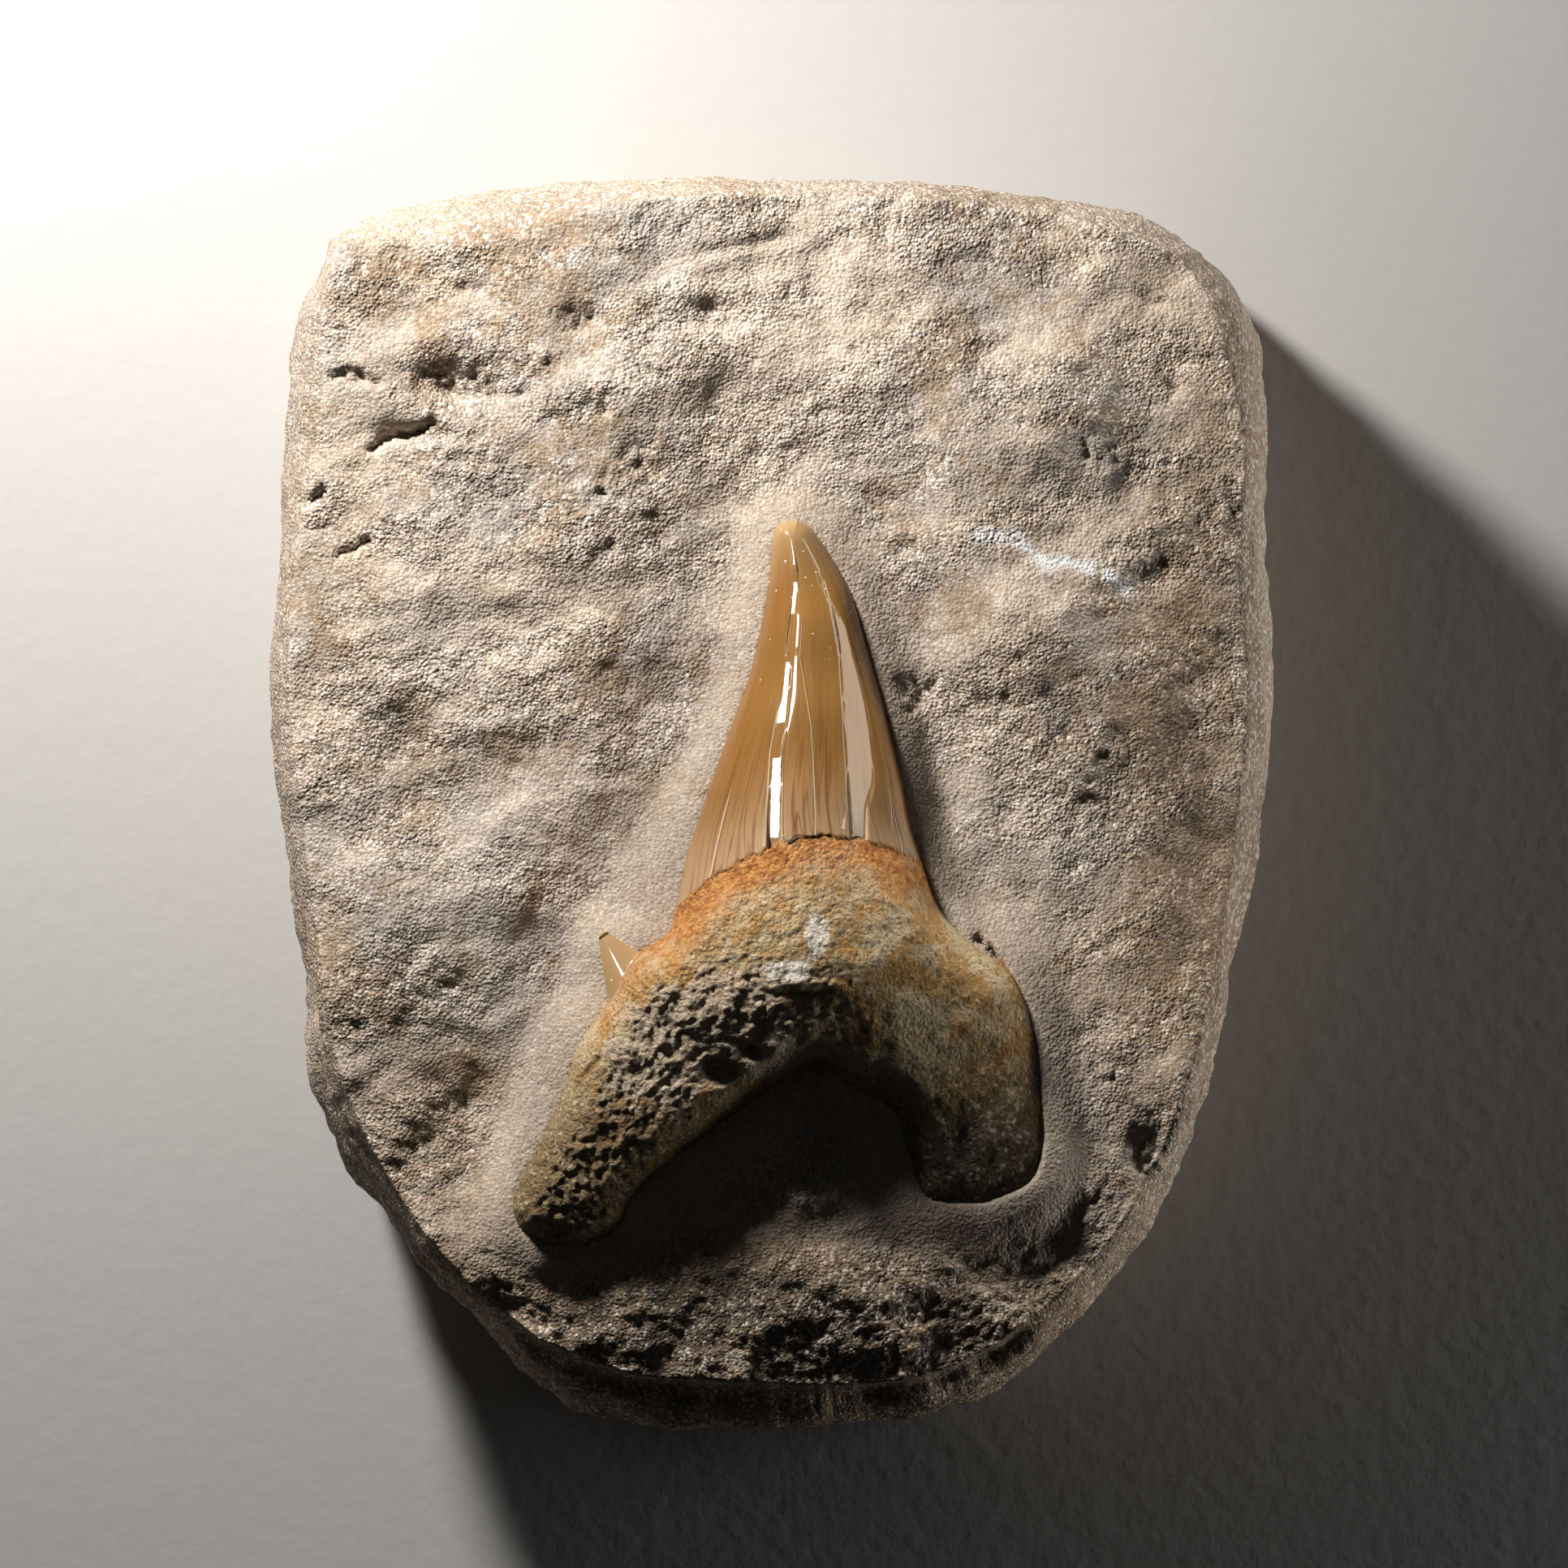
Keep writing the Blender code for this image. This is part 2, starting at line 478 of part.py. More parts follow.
def block_body():
    """The rock before the tooth's bed is cut in it."""
    across = np.linspace(0.0, 1.0, BLOCK_COLUMNS + 1)
    down = np.linspace(0.0, 1.0, BLOCK_ROWS + 1)
    face = patch(FACE_TOP, FACE_FOOT, FACE_LEFT, FACE_RIGHT, across, down)
    rim = outline_of(patch(RIM_TOP, RIM_FOOT, RIM_LEFT, RIM_RIGHT, across, down))
    heights = rock_face(face.reshape(-1, 2)).reshape(face.shape[:2])
    bm = bmesh.new()
    rows = []
    for points, line in zip(face, heights):
        rows.append([bm.verts.new((*point, z)) for point, z in zip(points, line)])
    add_grid_faces(bm, rows)
    upper = edge_loop(rows)
    edge = np.array([vertex.co for vertex in upper])
    ragged = FOOT_SHARE + unevenness(edge, *FOOT_RAGGED)
    at_foot = np.clip(ragged * smoothstep(FOOT_EDGE_START, FOOT_EDGE_END, edge[:, 1]), 0.0, 1.0)
    for side, foot in zip(SIDE_PROFILE, FOOT_PROFILE):
        out, level = np.array(side)[:, None] + at_foot * (np.array(foot) - np.array(side))[:, None]
        plan = edge[:, :2] + out[:, None] * (rim - edge[:, :2])
        places = np.column_stack([plan, edge[:, 2] * level])
        places[:, :2] += (flank_relief(places) * np.minimum(out, 1.0))[:, None] * outward(plan)
        lower = [bm.verts.new(place) for place in places]
        add_grid_faces(bm, [upper + upper[:1], lower + lower[:1]], flip=True)
        upper = lower
    bm.faces.new(upper)
    return bm


def build_all():
    """The tooth, and the rock with the tooth's bed cut in it."""
    tooth = finish("shark_tooth", tooth_body(), TOOTH_LOOK)
    cusplet = finish("cusplet_form", cusplet_body(), TOOTH_LOOK)
    combine(tooth, cusplet, "UNION")
    block = finish("matrix_block", block_body(), ROCK_LOOK)
    combine(block, finish("tooth_bed", swollen(tooth_body(), GAP), ROCK_LOOK), "DIFFERENCE")
    combine(block, finish("cusplet_bed", swollen(cusplet_body(), GAP), ROCK_LOOK), "DIFFERENCE")


clear_scene()
build_all()
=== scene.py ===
"""The looks of a fossil shark tooth and of the block of sandy rock that holds it.

Metres, +Z up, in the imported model's frame: the block lies face up on its flat back, +Y points along
the crown to its tip, and +X to the right of someone who looks down at the face.
"""

import math

import bpy
import numpy as np
from mathutils import Matrix, Vector, noise


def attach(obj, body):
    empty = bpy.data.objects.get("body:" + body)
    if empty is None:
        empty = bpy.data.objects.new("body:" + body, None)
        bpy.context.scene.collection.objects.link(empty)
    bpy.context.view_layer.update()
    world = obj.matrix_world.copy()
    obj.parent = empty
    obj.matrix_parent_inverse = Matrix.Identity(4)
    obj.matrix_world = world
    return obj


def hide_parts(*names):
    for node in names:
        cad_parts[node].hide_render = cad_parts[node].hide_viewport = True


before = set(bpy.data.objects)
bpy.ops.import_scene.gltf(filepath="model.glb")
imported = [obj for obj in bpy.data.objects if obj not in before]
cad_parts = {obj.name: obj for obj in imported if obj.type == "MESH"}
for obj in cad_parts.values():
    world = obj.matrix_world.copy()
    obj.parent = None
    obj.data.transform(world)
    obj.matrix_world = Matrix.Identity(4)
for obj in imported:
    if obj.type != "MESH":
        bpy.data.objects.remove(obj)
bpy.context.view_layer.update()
MM = 0.001

# Driving dimensions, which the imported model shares
FACE = 32.0 * MM  # from the flat back to the general level of the face
GAP = 0.3 * MM  # between the tooth and its bed in the rock
BESIDE_TOOTH = FACE - 0.15 * MM  # level of the rock right beside the tooth
COLLAR_DEPTH = 1.2 * MM  # the carved collar falls away from the tooth to a trough this deep
COLLAR_WIDTH = 3.6 * MM  # from the tooth to the trough's lowest line
COLLAR_SLOPE = 0.66  # the fall to the trough, as a share of that width
TROUGH_REACH = 6.0 * MM  # how far the trough takes to rise again to the face
CROWN_RIM_DEPTH = 0.5 * MM  # the crown's cutting edges, below the rock beside them
ROOT_RIM_DEPTH = 1.6 * MM  # the root's widest line, below the rock beside it
CROWN_BACK = 2.2 * MM  # how far the hidden side bulges down from that line
ROOT_BACK = 5.0 * MM
ENAMEL_STEP = 0.25 * MM  # the enamel stands proud of the root by this much
ROOT_ROUNDING = 3.6 * MM  # width over which the root curves down to its outline
CROWN_ROUNDING = 0.93  # the same for the crown, as a share of half its width
LEAST_ROUNDING = 1.1 * MM
CROWN_CURVE, ROOT_CURVE, BACK_CURVE = 0.62, 0.50, 0.65  # lower values make fuller domes
ROOTED_START, ROOTED_END = 0.8, 1.3  # where crown turns into root, as a share of the crown's length
ROOT_LENGTH = 17 / 15  # the root's length as a share of the crown's
FOOT_DROP = 3.3 * MM  # how far the face falls away towards the foot of the block
FOOT_START, FOOT_END = -36.0 * MM, -58.0 * MM
FOOT_LEDGES = 3
LEDGE_FLATNESS = 0.25  # 0 makes an even slope and 1 makes level ledges
FOOT_CALM = 0.6  # how much smaller the face's lumps become on the way to the foot
FLANK_CALM = 0.5  # how much smaller the flank's lumps are at the top of the block than at its foot
CALM_START, CALM_END = -20.0 * MM, 15.0 * MM
FOOT_EDGE_START, FOOT_EDGE_END = -43.0 * MM, -47.0 * MM  # where the flank takes the foot's profile
FLANK_STRETCH = 3.0  # how much wider than high the flank's lumps are
FLANK_INSET = 0.39 * MM

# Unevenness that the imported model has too: height, size of its lumps and where its pattern starts
FACE_WAVES = (1.0 * MM, 24.0 * MM, 3.1)
FACE_LUMPS = (0.55 * MM, 7.0 * MM, 8.7)
ROOT_LUMPS = (0.22 * MM, 4.0 * MM, 5.3)
FLANK_WAVES = (1.3 * MM, 22.0 * MM, 1.7)
FLANK_LUMPS = (1.0 * MM, 9.0 * MM, 6.2)
FOOT_WANDER = (2.5 * MM, 7.0 * MM, 4.4)
FOOT_SHARE, FOOT_RAGGED = 0.7, (0.6, 11.0 * MM, 2.9)  # how much of the foot's profile the flank takes

# Finer unevenness of the rock, in the same way
CHIPS, FALLEN_CHIPS = (1.0, 2.6 * MM, 1.3), (1.0, 2.2 * MM, 2.9)
CHIP_HEIGHT = 0.14 * MM
CHIP_TURN, FALLEN_TURN = math.radians(24), math.radians(-25)  # the rock's grain, from +X
CRUMBS = (0.11 * MM, 1.1 * MM, 9.4)
ROCK_GRAINS = (0.11 * MM, 0.8 * MM, 4.7)
FINE_GRAINS = (0.035 * MM, 0.7 * MM, 6.9)
SMALL_PITS, PIT_DEPTH = (1.0, 1.6 * MM, 3.3), 0.14 * MM
FOOT_LAYERS, LAYER_STEP = (0.4 * MM, 3.2 * MM, 5.8), 0.25 * MM
TOOL_MARKS, TOOL_TURN = (0.08 * MM, 0.8 * MM, 4.2), math.radians(-72)
MARKED_PLACE = (14.0, 3.0, 3.0, 10.0)  # right of the crown, in millimetres: x, y, reach across, reach up
RAGGED_CRACKS = (0.3 * MM, 0.9 * MM, 3.9)
POCKS = (1.0, 0.9 * MM, 7.3)
PATCHES = (1.0, 4.5 * MM, 6.6)
CARVED_WANDER, VEIN_WANDER = (0.8 * MM, 3.0 * MM, 5.2), (0.5 * MM, 1.5 * MM, 2.1)
FLANK_CHIPS, FLANK_GRAINS = (0.2 * MM, 2.4 * MM, 5.1), (0.12 * MM, 1.1 * MM, 7.7)
VEIN_WIDTH, FLANK_ROUGHNESS = 0.6 * MM, 0.7
CRACK_STEPS = 12

# Spans over which one state of the rock or the tooth gives way to another
ROUGH_FOOT = (-38.0 * MM, -44.0 * MM)
LAYERED_FOOT = (-38.0 * MM, -45.0 * MM)
SANDY_FOOT = (-8.0 * MM, -30.0 * MM)
FALLEN_ACROSS, FALLEN_DOWN = (0.0, 16.0 * MM), (2.0 * MM, -10.0 * MM)
BED_EDGE, BED_ROOTED = (0.6 * MM, 1.8 * MM), (0.0, -9.0 * MM)
RUGGED_ACROSS = (11.0 * MM, 2.0 * MM)
OLIVE_DOWN = (-18.0 * MM, -30.0 * MM)
STUCK_COVER = (0.3, 0.75)
ROCK_RELIEF, ROOT_RELIEF = 0.9 * MM, 0.8 * MM  # relief that takes the painted crevice shade and grime from none to full

# Finer unevenness of the tooth
ENAMEL_RAGGED, LINE_RAGGED_WIDTH = (0.35 * MM, 0.9 * MM, 3.6), 0.05
ROOT_SWELLS, ROOT_PORES = (0.14 * MM, 1.7 * MM, 2.2), (0.14 * MM, 0.6 * MM, 7.1)
ROOT_GRAINS = (0.14 * MM, 0.9 * MM, 4.8)
STUCK_GRAINS, STUCK_SAND = (0.15 * MM, 1.2 * MM, 3.3), (0.17 * MM, 0.55 * MM, 6.1)
STUCK_SWELLS, STUCK_EDGE = (0.12 * MM, 2.6 * MM, 5.5), (0.35, 2.2 * MM, 8.1)
KNOBS = (0.36 * MM, 0.75 * MM, 1.9)
STUCK_SINK, GROOVE_DEPTH, GROOVE_WIDTH = 0.1 * MM, 0.4 * MM, 0.3 * MM
RUST_WANDER = (0.9 * MM, 2.5 * MM, 9.9)
RUST_WIDTH, SIDE_RUST_WIDTH = 3.1 * MM, 1.5 * MM

# How finely each piece is divided; the hidden sides take every second or third vertex
FACE_COLUMNS, FACE_ROWS = 236, 292
BEVEL_RINGS, FLANK_RINGS, BEVEL_SHARE = 11, 22, 0.5
TOOTH_COLUMNS, CROWN_ROWS, ROOT_ROWS = 210, 150, 171
FLANK_STEP, BACK_STEP = 2, 3
CURVE_STEPS = 16
LEAST_WEIGHT, LEAST_SQUARE = 1e-9, 1e-18  # keep divisions defined far from every spot and at a corner

# Edge of the face in millimetres, side by side; top and foot run left to right
FACE_TOP = [
    (-37.5, 48.6), (-31.5, 48.7), (-27.0, 48.3), (-22.0, 49.2), (-17.0, 51.0), (-10.0, 52.4),
    (0.0, 52.7), (12.0, 52.4), (22.0, 51.4), (29.0, 49.9), (34.9, 47.6),
]
FACE_RIGHT = [
    (34.9, 47.6), (37.8, 43.4), (39.6, 37.0), (40.7, 30.0), (40.2, 20.0), (40.9, 9.5),
    (39.8, -3.0), (38.0, -14.0), (36.0, -22.5), (32.8, -31.5), (27.5, -39.5), (19.5, -46.4),
]
FACE_FOOT = [(-20.0, -46.0), (-12.0, -48.9), (-3.0, -49.6), (6.0, -49.9), (13.5, -49.0), (19.5, -46.4)]
FACE_LEFT = [
    (-37.5, 48.6), (-38.5, 43.5), (-38.7, 35.0), (-39.8, 27.5), (-41.3, 19.0), (-41.5, 10.0),
    (-40.4, 0.0), (-39.0, -12.0), (-36.9, -23.5), (-32.4, -33.0), (-26.5, -40.5), (-20.0, -46.0),
]

# The block's widest line, part of the way down its flanks
RIM_TOP = [
    (-38.9, 49.9), (-35.6, 52.0), (-31.0, 53.2), (-23.5, 54.1), (-14.5, 54.7), (-2.8, 54.8),
    (8.0, 54.6), (18.5, 54.0), (26.2, 52.8), (33.5, 51.2), (37.6, 48.6),
]
RIM_RIGHT = [
    (37.6, 48.6), (40.4, 45.4), (42.3, 41.3), (43.2, 34.5), (43.6, 23.0), (44.0, 10.0),
    (42.6, -1.5), (41.1, -11.5), (39.1, -20.0), (36.9, -28.6), (33.4, -36.2), (28.4, -43.0),
    (21.6, -50.2),
]
RIM_FOOT = [
    (-22.0, -49.6), (-16.9, -53.0), (-10.0, -54.6), (0.0, -54.8), (9.2, -54.8), (16.2, -53.5),
    (21.6, -50.2),
]
RIM_LEFT = [
    (-38.9, 49.9), (-39.8, 46.8), (-41.7, 43.4), (-42.3, 35.0), (-42.8, 24.0), (-44.0, 12.5),
    (-43.2, 3.0), (-42.2, -7.0), (-40.6, -15.0), (-39.2, -24.8), (-36.6, -31.2), (-31.5, -38.8),
    (-22.0, -49.6),
]

# Outline of the tooth in millimetres. The crown's sides run down from the tip to the enamel line.
CROWN_LEFT = [
    (2.2, 24.9), (0.8, 24.6), (0.0, 23.4), (-0.4, 19.5), (-1.1, 15.3), (-2.1, 11.2), (-3.9, 6.2),
    (-6.0, 0.3), (-7.6, -4.6), (-8.4, -8.7),
]
CROWN_RIGHT = [
    (2.2, 24.9), (3.5, 24.1), (5.1, 21.9), (6.9, 18.6), (8.5, 13.2), (9.8, 8.6), (11.2, 2.5),
    (12.0, -1.6), (13.0, -4.7),
]
ENAMEL_LINE = [
    (-8.4, -8.7), (-5.2, -6.0), (-1.7, -4.0), (1.6, -2.8), (5.0, -2.3), (9.4, -3.1), (13.0, -4.7),
]
ROOT_LEFT = [
    (-8.4, -8.7), (-9.2, -10.9), (-12.2, -12.9), (-14.0, -16.4), (-16.8, -20.5), (-18.2, -24.7),
    (-20.3, -29.0), (-22.4, -33.2), (-22.4, -36.0), (-19.9, -38.2),
]
ROOT_RIGHT = [
    (13.0, -4.7), (14.5, -8.6), (17.3, -11.6), (21.1, -14.4), (23.1, -19.4), (23.9, -25.0),
    (24.2, -29.2), (22.8, -32.9), (18.4, -34.9),
]
ROOT_BASE = [
    (-19.9, -38.2), (-16.5, -38.4), (-13.2, -36.8), (-11.3, -33.1), (-7.0, -29.4), (-2.5, -26.2),
    (1.0, -23.8), (3.8, -22.4), (6.6, -24.3), (10.2, -26.3), (11.4, -30.2), (13.0, -34.2),
    (18.4, -34.9),
]

# Heights in millimetres that the crown's face reaches above the rock beside it: x, y, height
CROWN_HEIGHTS = [
    (2.4, 24.0, 1.5), (2.2, 21.0, 2.4), (2.6, 14.0, 3.4), (2.6, 6.0, 4.4), (2.4, -1.5, 5.4),
    (-5.0, -4.5, 4.8), (9.5, -2.0, 5.2), (2.8, -7.0, 9.2), (-7.0, -9.0, 6.8), (12.0, -8.0, 7.6),
]
HEIGHT_SPREAD = 4.5 * MM
# The same for the root's face
ROOT_HEIGHTS = [
    (2.6, 6.0, 3.6), (2.4, -1.5, 6.0), (-5.0, -4.5, 5.2), (9.5, -2.0, 5.2), (2.8, -7.0, 8.3),
    (-7.0, -9.0, 6.4), (12.0, -8.0, 6.2), (-4.0, -12.5, 8.2), (3.5, -11.5, 9.3), (-3.6, -16.8, 8.0),
    (1.0, -16.3, 8.4), (6.0, -15.5, 8.4), (-9.2, -13.6, 7.3), (-9.8, -20.9, 6.4), (-14.0, -20.0, 6.0),
    (-3.6, -20.7, 6.8), (-7.0, -25.2, 5.8), (-12.8, -24.0, 5.5), (-10.4, -28.6, 4.8), (-17.0, -27.5, 4.2),
    (-15.5, -31.0, 3.5), (-19.0, -34.0, 2.6), (-11.8, -34.5, 2.6), (13.0, -13.0, 6.3), (9.5, -15.0, 7.6),
    (12.5, -16.8, 6.2), (18.0, -17.5, 3.8), (15.0, -20.5, 4.5), (12.0, -22.0, 4.9), (9.0, -20.5, 5.9),
    (20.0, -22.5, 2.4), (15.5, -24.0, 3.4), (17.0, -28.0, 2.1), (20.0, -28.5, 1.4), (17.5, -32.0, 1.1),
    (12.5, -29.0, 2.4), (5.0, -20.5, 6.4), (0.0, -22.5, 5.8),
]

# The side cusplet, a small spike at the root's left shoulder
CUSPLET_TIP = (-14.7 * MM, -10.7 * MM, BESIDE_TOOTH + 0.4 * MM)
CUSPLET_FOOT = (-11.6 * MM, -15.2 * MM, BESIDE_TOOTH + 0.9 * MM)
CUSPLET_WIDTH, CUSPLET_DEPTH = 5.8 * MM, 2.6 * MM
CUSPLET_SIDES, CUSPLET_RINGS, CUSPLET_BEND = 36, 18, 0.15 * MM

# The flank from the face's edge down: share of the way out to the rim, share of the height left
SIDE_PROFILE = [
    (0.0, 1.0), (0.2, 0.985), (0.6, 0.92), (0.9, 0.79), (1.0, 0.62), (1.0, 0.44), (0.985, 0.26),
    (0.965, 0.08), (0.94, 0.0),
]
FOOT_PROFILE = [
    (0.0, 1.0), (0.06, 0.91), (0.2, 0.83), (0.72, 0.79), (1.0, 0.64), (1.0, 0.46), (0.98, 0.26),
    (0.95, 0.08), (0.92, 0.0),
]

# Where the rock differs from its general level, in millimetres: x, y, reach across, reach up, rise
ROCK_FORMS = [
    (-27.0, 36.5, 4.2, 2.2, -1.4),  # pitted hollow, upper left
    (-31.0, 32.3, 3.4, 0.9, -0.8),  # deep crack beside it
    (-13.5, 37.0, 6.0, 3.0, 0.7),  # swelling between the hollow and the dent
    (-5.0, 42.3, 3.0, 1.6, -0.9),  # dent below the top edge
    (12.2, 9.8, 2.4, 1.8, -0.6),  # ledge to the right of the crown
    (20.0, 14.0, 8.0, 7.0, 1.1),  # broad swelling to the right of the crown
    (29.0, -1.0, 6.0, 8.0, -0.8),  # hollow between the swelling and the right edge
    (-24.0, 4.0, 8.0, 6.0, -1.0),  # broad hollow to the left of the crown
    (-20.0, 22.0, 7.0, 4.5, 0.8),  # swelling above that hollow
    (-33.0, -12.0, 4.0, 8.0, 0.8),  # long swelling near the left edge
    (24.0, 36.0, 8.0, 5.0, 0.7),  # swelling, upper right
    (33.0, 27.0, 4.0, 3.0, -0.8),  # hollow near the right edge
    (32.8, -30.5, 1.8, 3.8, -0.7),  # pits near the lower right edge
    (16.5, -48.0, 3.0, 4.0, -2.6),  # recess in the foot's right corner
    (-23.5, -43.5, 2.6, 1.8, -1.8),  # notch in the foot's left corner
    (31.0, -44.0, 12.0, 13.0, -2.0),  # fall towards the lower right corner
    (43.0, 0.0, 7.0, 22.0, -1.8),  # long fall towards the right edge
]
# Rock left standing near the tooth, in millimetres: x, y, reach across, reach up, rise
MOUNDS = [
    (4.0, -28.0, 8.0, 5.5, 0.8),  # between the root's lobes
    (-13.4, -11.6, 3.0, 2.6, 0.7),  # under the cusplet
    (14.4, 2.0, 2.4, 9.0, -0.8),  # a deeper stretch of the trough, right of the crown
]

# Where the collar is wider, in millimetres: x, y, reach across, reach up, extra width
COLLAR_FORMS = [
    (-12.0, -7.0, 8.0, 7.0, 4.0),  # left of the enamel line
    (-19.0, -22.0, 6.0, 8.0, 2.0),  # left of the root
    (4.0, -33.0, 16.0, 8.0, 2.0),  # below the root
]

# Smaller marks in the rock, each with its points, half width and depth in millimetres
ROCK_CRACKS = [
    ([(-34.5, 30.9), (-33.0, 32.0), (-31.5, 32.3), (-30.6, 32.4), (-29.1, 33.3)], 0.28, 1.1),
    ([(-26.1, 36.3), (-24.4, 35.7), (-22.5, 35.5), (-21.4, 35.8)], 0.2, 0.6),
    ([(-37.5, 21.8), (-36.3, 22.3), (-34.8, 23.0)], 0.22, 0.7),
    ([(-39.6, 26.5), (-38.6, 27.3)], 0.25, 0.7),
    ([(-37.8, 37.0), (-36.3, 37.8), (-35.1, 36.9), (-33.9, 36.6)], 0.25, 0.5),
    ([(-3.9, 41.1), (-4.9, 39.3)], 0.25, 0.2),
    ([(-5.8, 47.8), (-0.1, 48.9), (2.6, 49.1)], 0.5, 0.2),
    ([(14.6, 11.2), (13.4, 10.3), (12.7, 9.0), (11.6, 8.4)], 0.22, 0.3),
    ([(17.8, -11.3), (19.0, -12.4), (20.2, -14.0)], 0.25, 0.9),
]
# Pitted patches, in millimetres: x, y, reach across, reach up, depth
ROCK_PITS = [
    (-27.0, 36.3, 3.2, 1.8, 0.6), (-14.4, 27.7, 0.9, 1.1, 0.9), (-14.1, 22.5, 0.8, 0.7, 0.6),
    (-11.3, 30.1, 1.6, 1.6, 0.4), (-32.3, 46.9, 2.0, 1.9, 0.4), (-26.0, 41.0, 2.0, 1.4, 0.3),
    (-26.5, 45.0, 1.6, 1.2, 0.4), (-19.7, 38.2, 2.6, 1.5, 0.35), (-16.2, 42.0, 1.8, 1.2, 0.4),
    (-10.7, 40.2, 0.7, 0.6, 0.5), (-14.5, 34.0, 0.5, 0.5, 0.4), (1.3, 26.1, 0.3, 0.3, 0.5),
    (-5.6, 42.4, 2.2, 1.2, 0.5), (-28.5, 30.7, 2.5, 1.4, 0.35), (-36.2, 37.2, 1.4, 0.8, 0.4),
    (-21.9, 23.6, 2.2, 0.8, 0.35), (18.8, 42.2, 1.2, 0.7, 0.5), (18.1, 39.2, 1.0, 0.8, 0.35),
    (9.0, 42.5, 2.4, 1.2, 0.35), (6.6, 39.0, 0.8, 0.7, 0.35), (33.2, 43.8, 2.0, 1.0, 0.35),
    (34.6, 36.2, 0.8, 0.8, 0.4), (28.6, 30.8, 3.2, 1.4, 0.35), (32.8, -31.2, 1.3, 3.4, 0.5),
    (40.2, 25.6, 0.7, 4.8, 0.35), (11.8, 10.2, 1.6, 1.4, 0.3), (-23.3, -41.3, 0.7, 0.9, 0.7),
]
WHITE_VEIN = [
    (17.8, 23.5), (20.7, 23.2), (22.3, 22.0), (23.5, 21.3), (25.5, 21.1), (27.5, 20.7), (29.0, 20.0),
    (30.7, 18.9),
]

# Brown stains of the rock, and a wide darkening towards the foot, in millimetres: x, y, reach across, reach
# up, strength
STAINS_AND_FOOT_DARKENING = [
    (36.0, 0.0, 5.0, 22.0, 1.15), (38.0, 30.0, 4.0, 12.0, 0.6), (-30.0, 46.0, 7.0, 3.0, 0.5),
    (-28.0, -26.0, 8.0, 7.0, 0.7), (20.0, 48.0, 8.0, 4.0, 0.3), (2.0, -48.0, 34.0, 10.0, 2.4),
    (-36.0, 22.0, 4.0, 9.0, 0.5), (-10.5, 30.5, 5.0, 3.5, 0.35), (24.0, 12.0, 6.0, 2.5, 0.5),
    (-24.0, 30.0, 6.0, 4.0, 0.35), (3.0, 46.0, 13.0, 6.0, -0.9), (-25.0, 17.0, 8.0, 6.0, -0.6),
    (-28.0, -8.0, 6.0, 12.0, -0.4), (0.0, 34.0, 12.0, 8.0, -0.9), (-30.0, 37.0, 8.0, 7.0, 0.3),
    (25.0, 39.0, 8.0, 6.0, 0.3), (28.0, -18.0, 8.0, 10.0, 0.5), (33.0, 2.0, 5.0, 18.0, 0.5),
]

# Stuck rock, knobs and hollows of the root, in millimetres: x, y, reach across, reach up, rise
ROOT_FORMS = [
    (-4.4, -22.6, 1.3, 0.9, -1.6),  # dark cavity
    (-1.7, -20.9, 0.9, 0.6, -1.1),  # smaller one beside it
    (2.7, -15.0, 2.0, 0.5, 0.35),  # lip above the steep lower side
    (2.7, -15.9, 2.0, 0.4, -0.4),
    (1.2, -21.8, 1.8, 1.3, 0.35),  # patch of grey rock
]
ROOT_GROOVE = [(-17.0, -24.2), (-16.0, -22.9), (-14.8, -21.5)]
STUCK_ROCK = [
    (-5.5, -18.5, 6.5, 4.5, 1.0), (-10.0, -22.5, 5.0, 4.0, 0.9), (-1.0, -15.0, 4.0, 2.5, 0.6),
    (-3.0, -8.5, 3.0, 1.6, 0.5), (5.5, -11.5, 3.0, 3.5, 0.35), (1.0, -21.0, 3.0, 2.5, 0.9),
]
LEFT_LOBE = (-17.0, -32.5, 6.5, 6.5)

# Cracks of the enamel from left to right: the share down the crown at which each starts to show, and
# its millimetre points from top to bottom
CRACKS = [
    (0.75, [(-4.0, 0.7), (-4.4, -0.9), (-5.0, -3.4), (-5.5, -5.2)]),
    (0.55, [(1.8, 18.9), (1.1, 12.5), (0.8, 9.5), (-0.1, 4.2), (-0.4, -2.1)]),
    (0.5, [(2.3, 18.9), (1.7, 12.5), (1.4, 7.4), (1.0, 4.2), (0.9, -2.1)]),
    (0.3, [(2.4, 12.5), (2.9, 9.1), (3.4, 5.8), (3.6, 2.6), (3.8, -2.5)]),
    (0.1, [
        (4.0, 19.0), (5.2, 16.5), (5.8, 13.2), (5.9, 10.5), (6.1, 7.2), (6.2, 4.4), (6.4, 1.4),
        (6.6, -2.4),
    ]),
    (0.9, [
        (4.7, 17.4), (6.4, 15.1), (7.0, 12.5), (7.6, 10.5), (8.2, 7.9), (8.6, 5.6), (8.8, 3.3),
        (8.8, 1.0), (8.2, -1.3),
    ]),
    (0.68, [(10.1, 2.1), (10.4, -0.2), (10.9, -2.3), (11.3, -3.8)]),
]

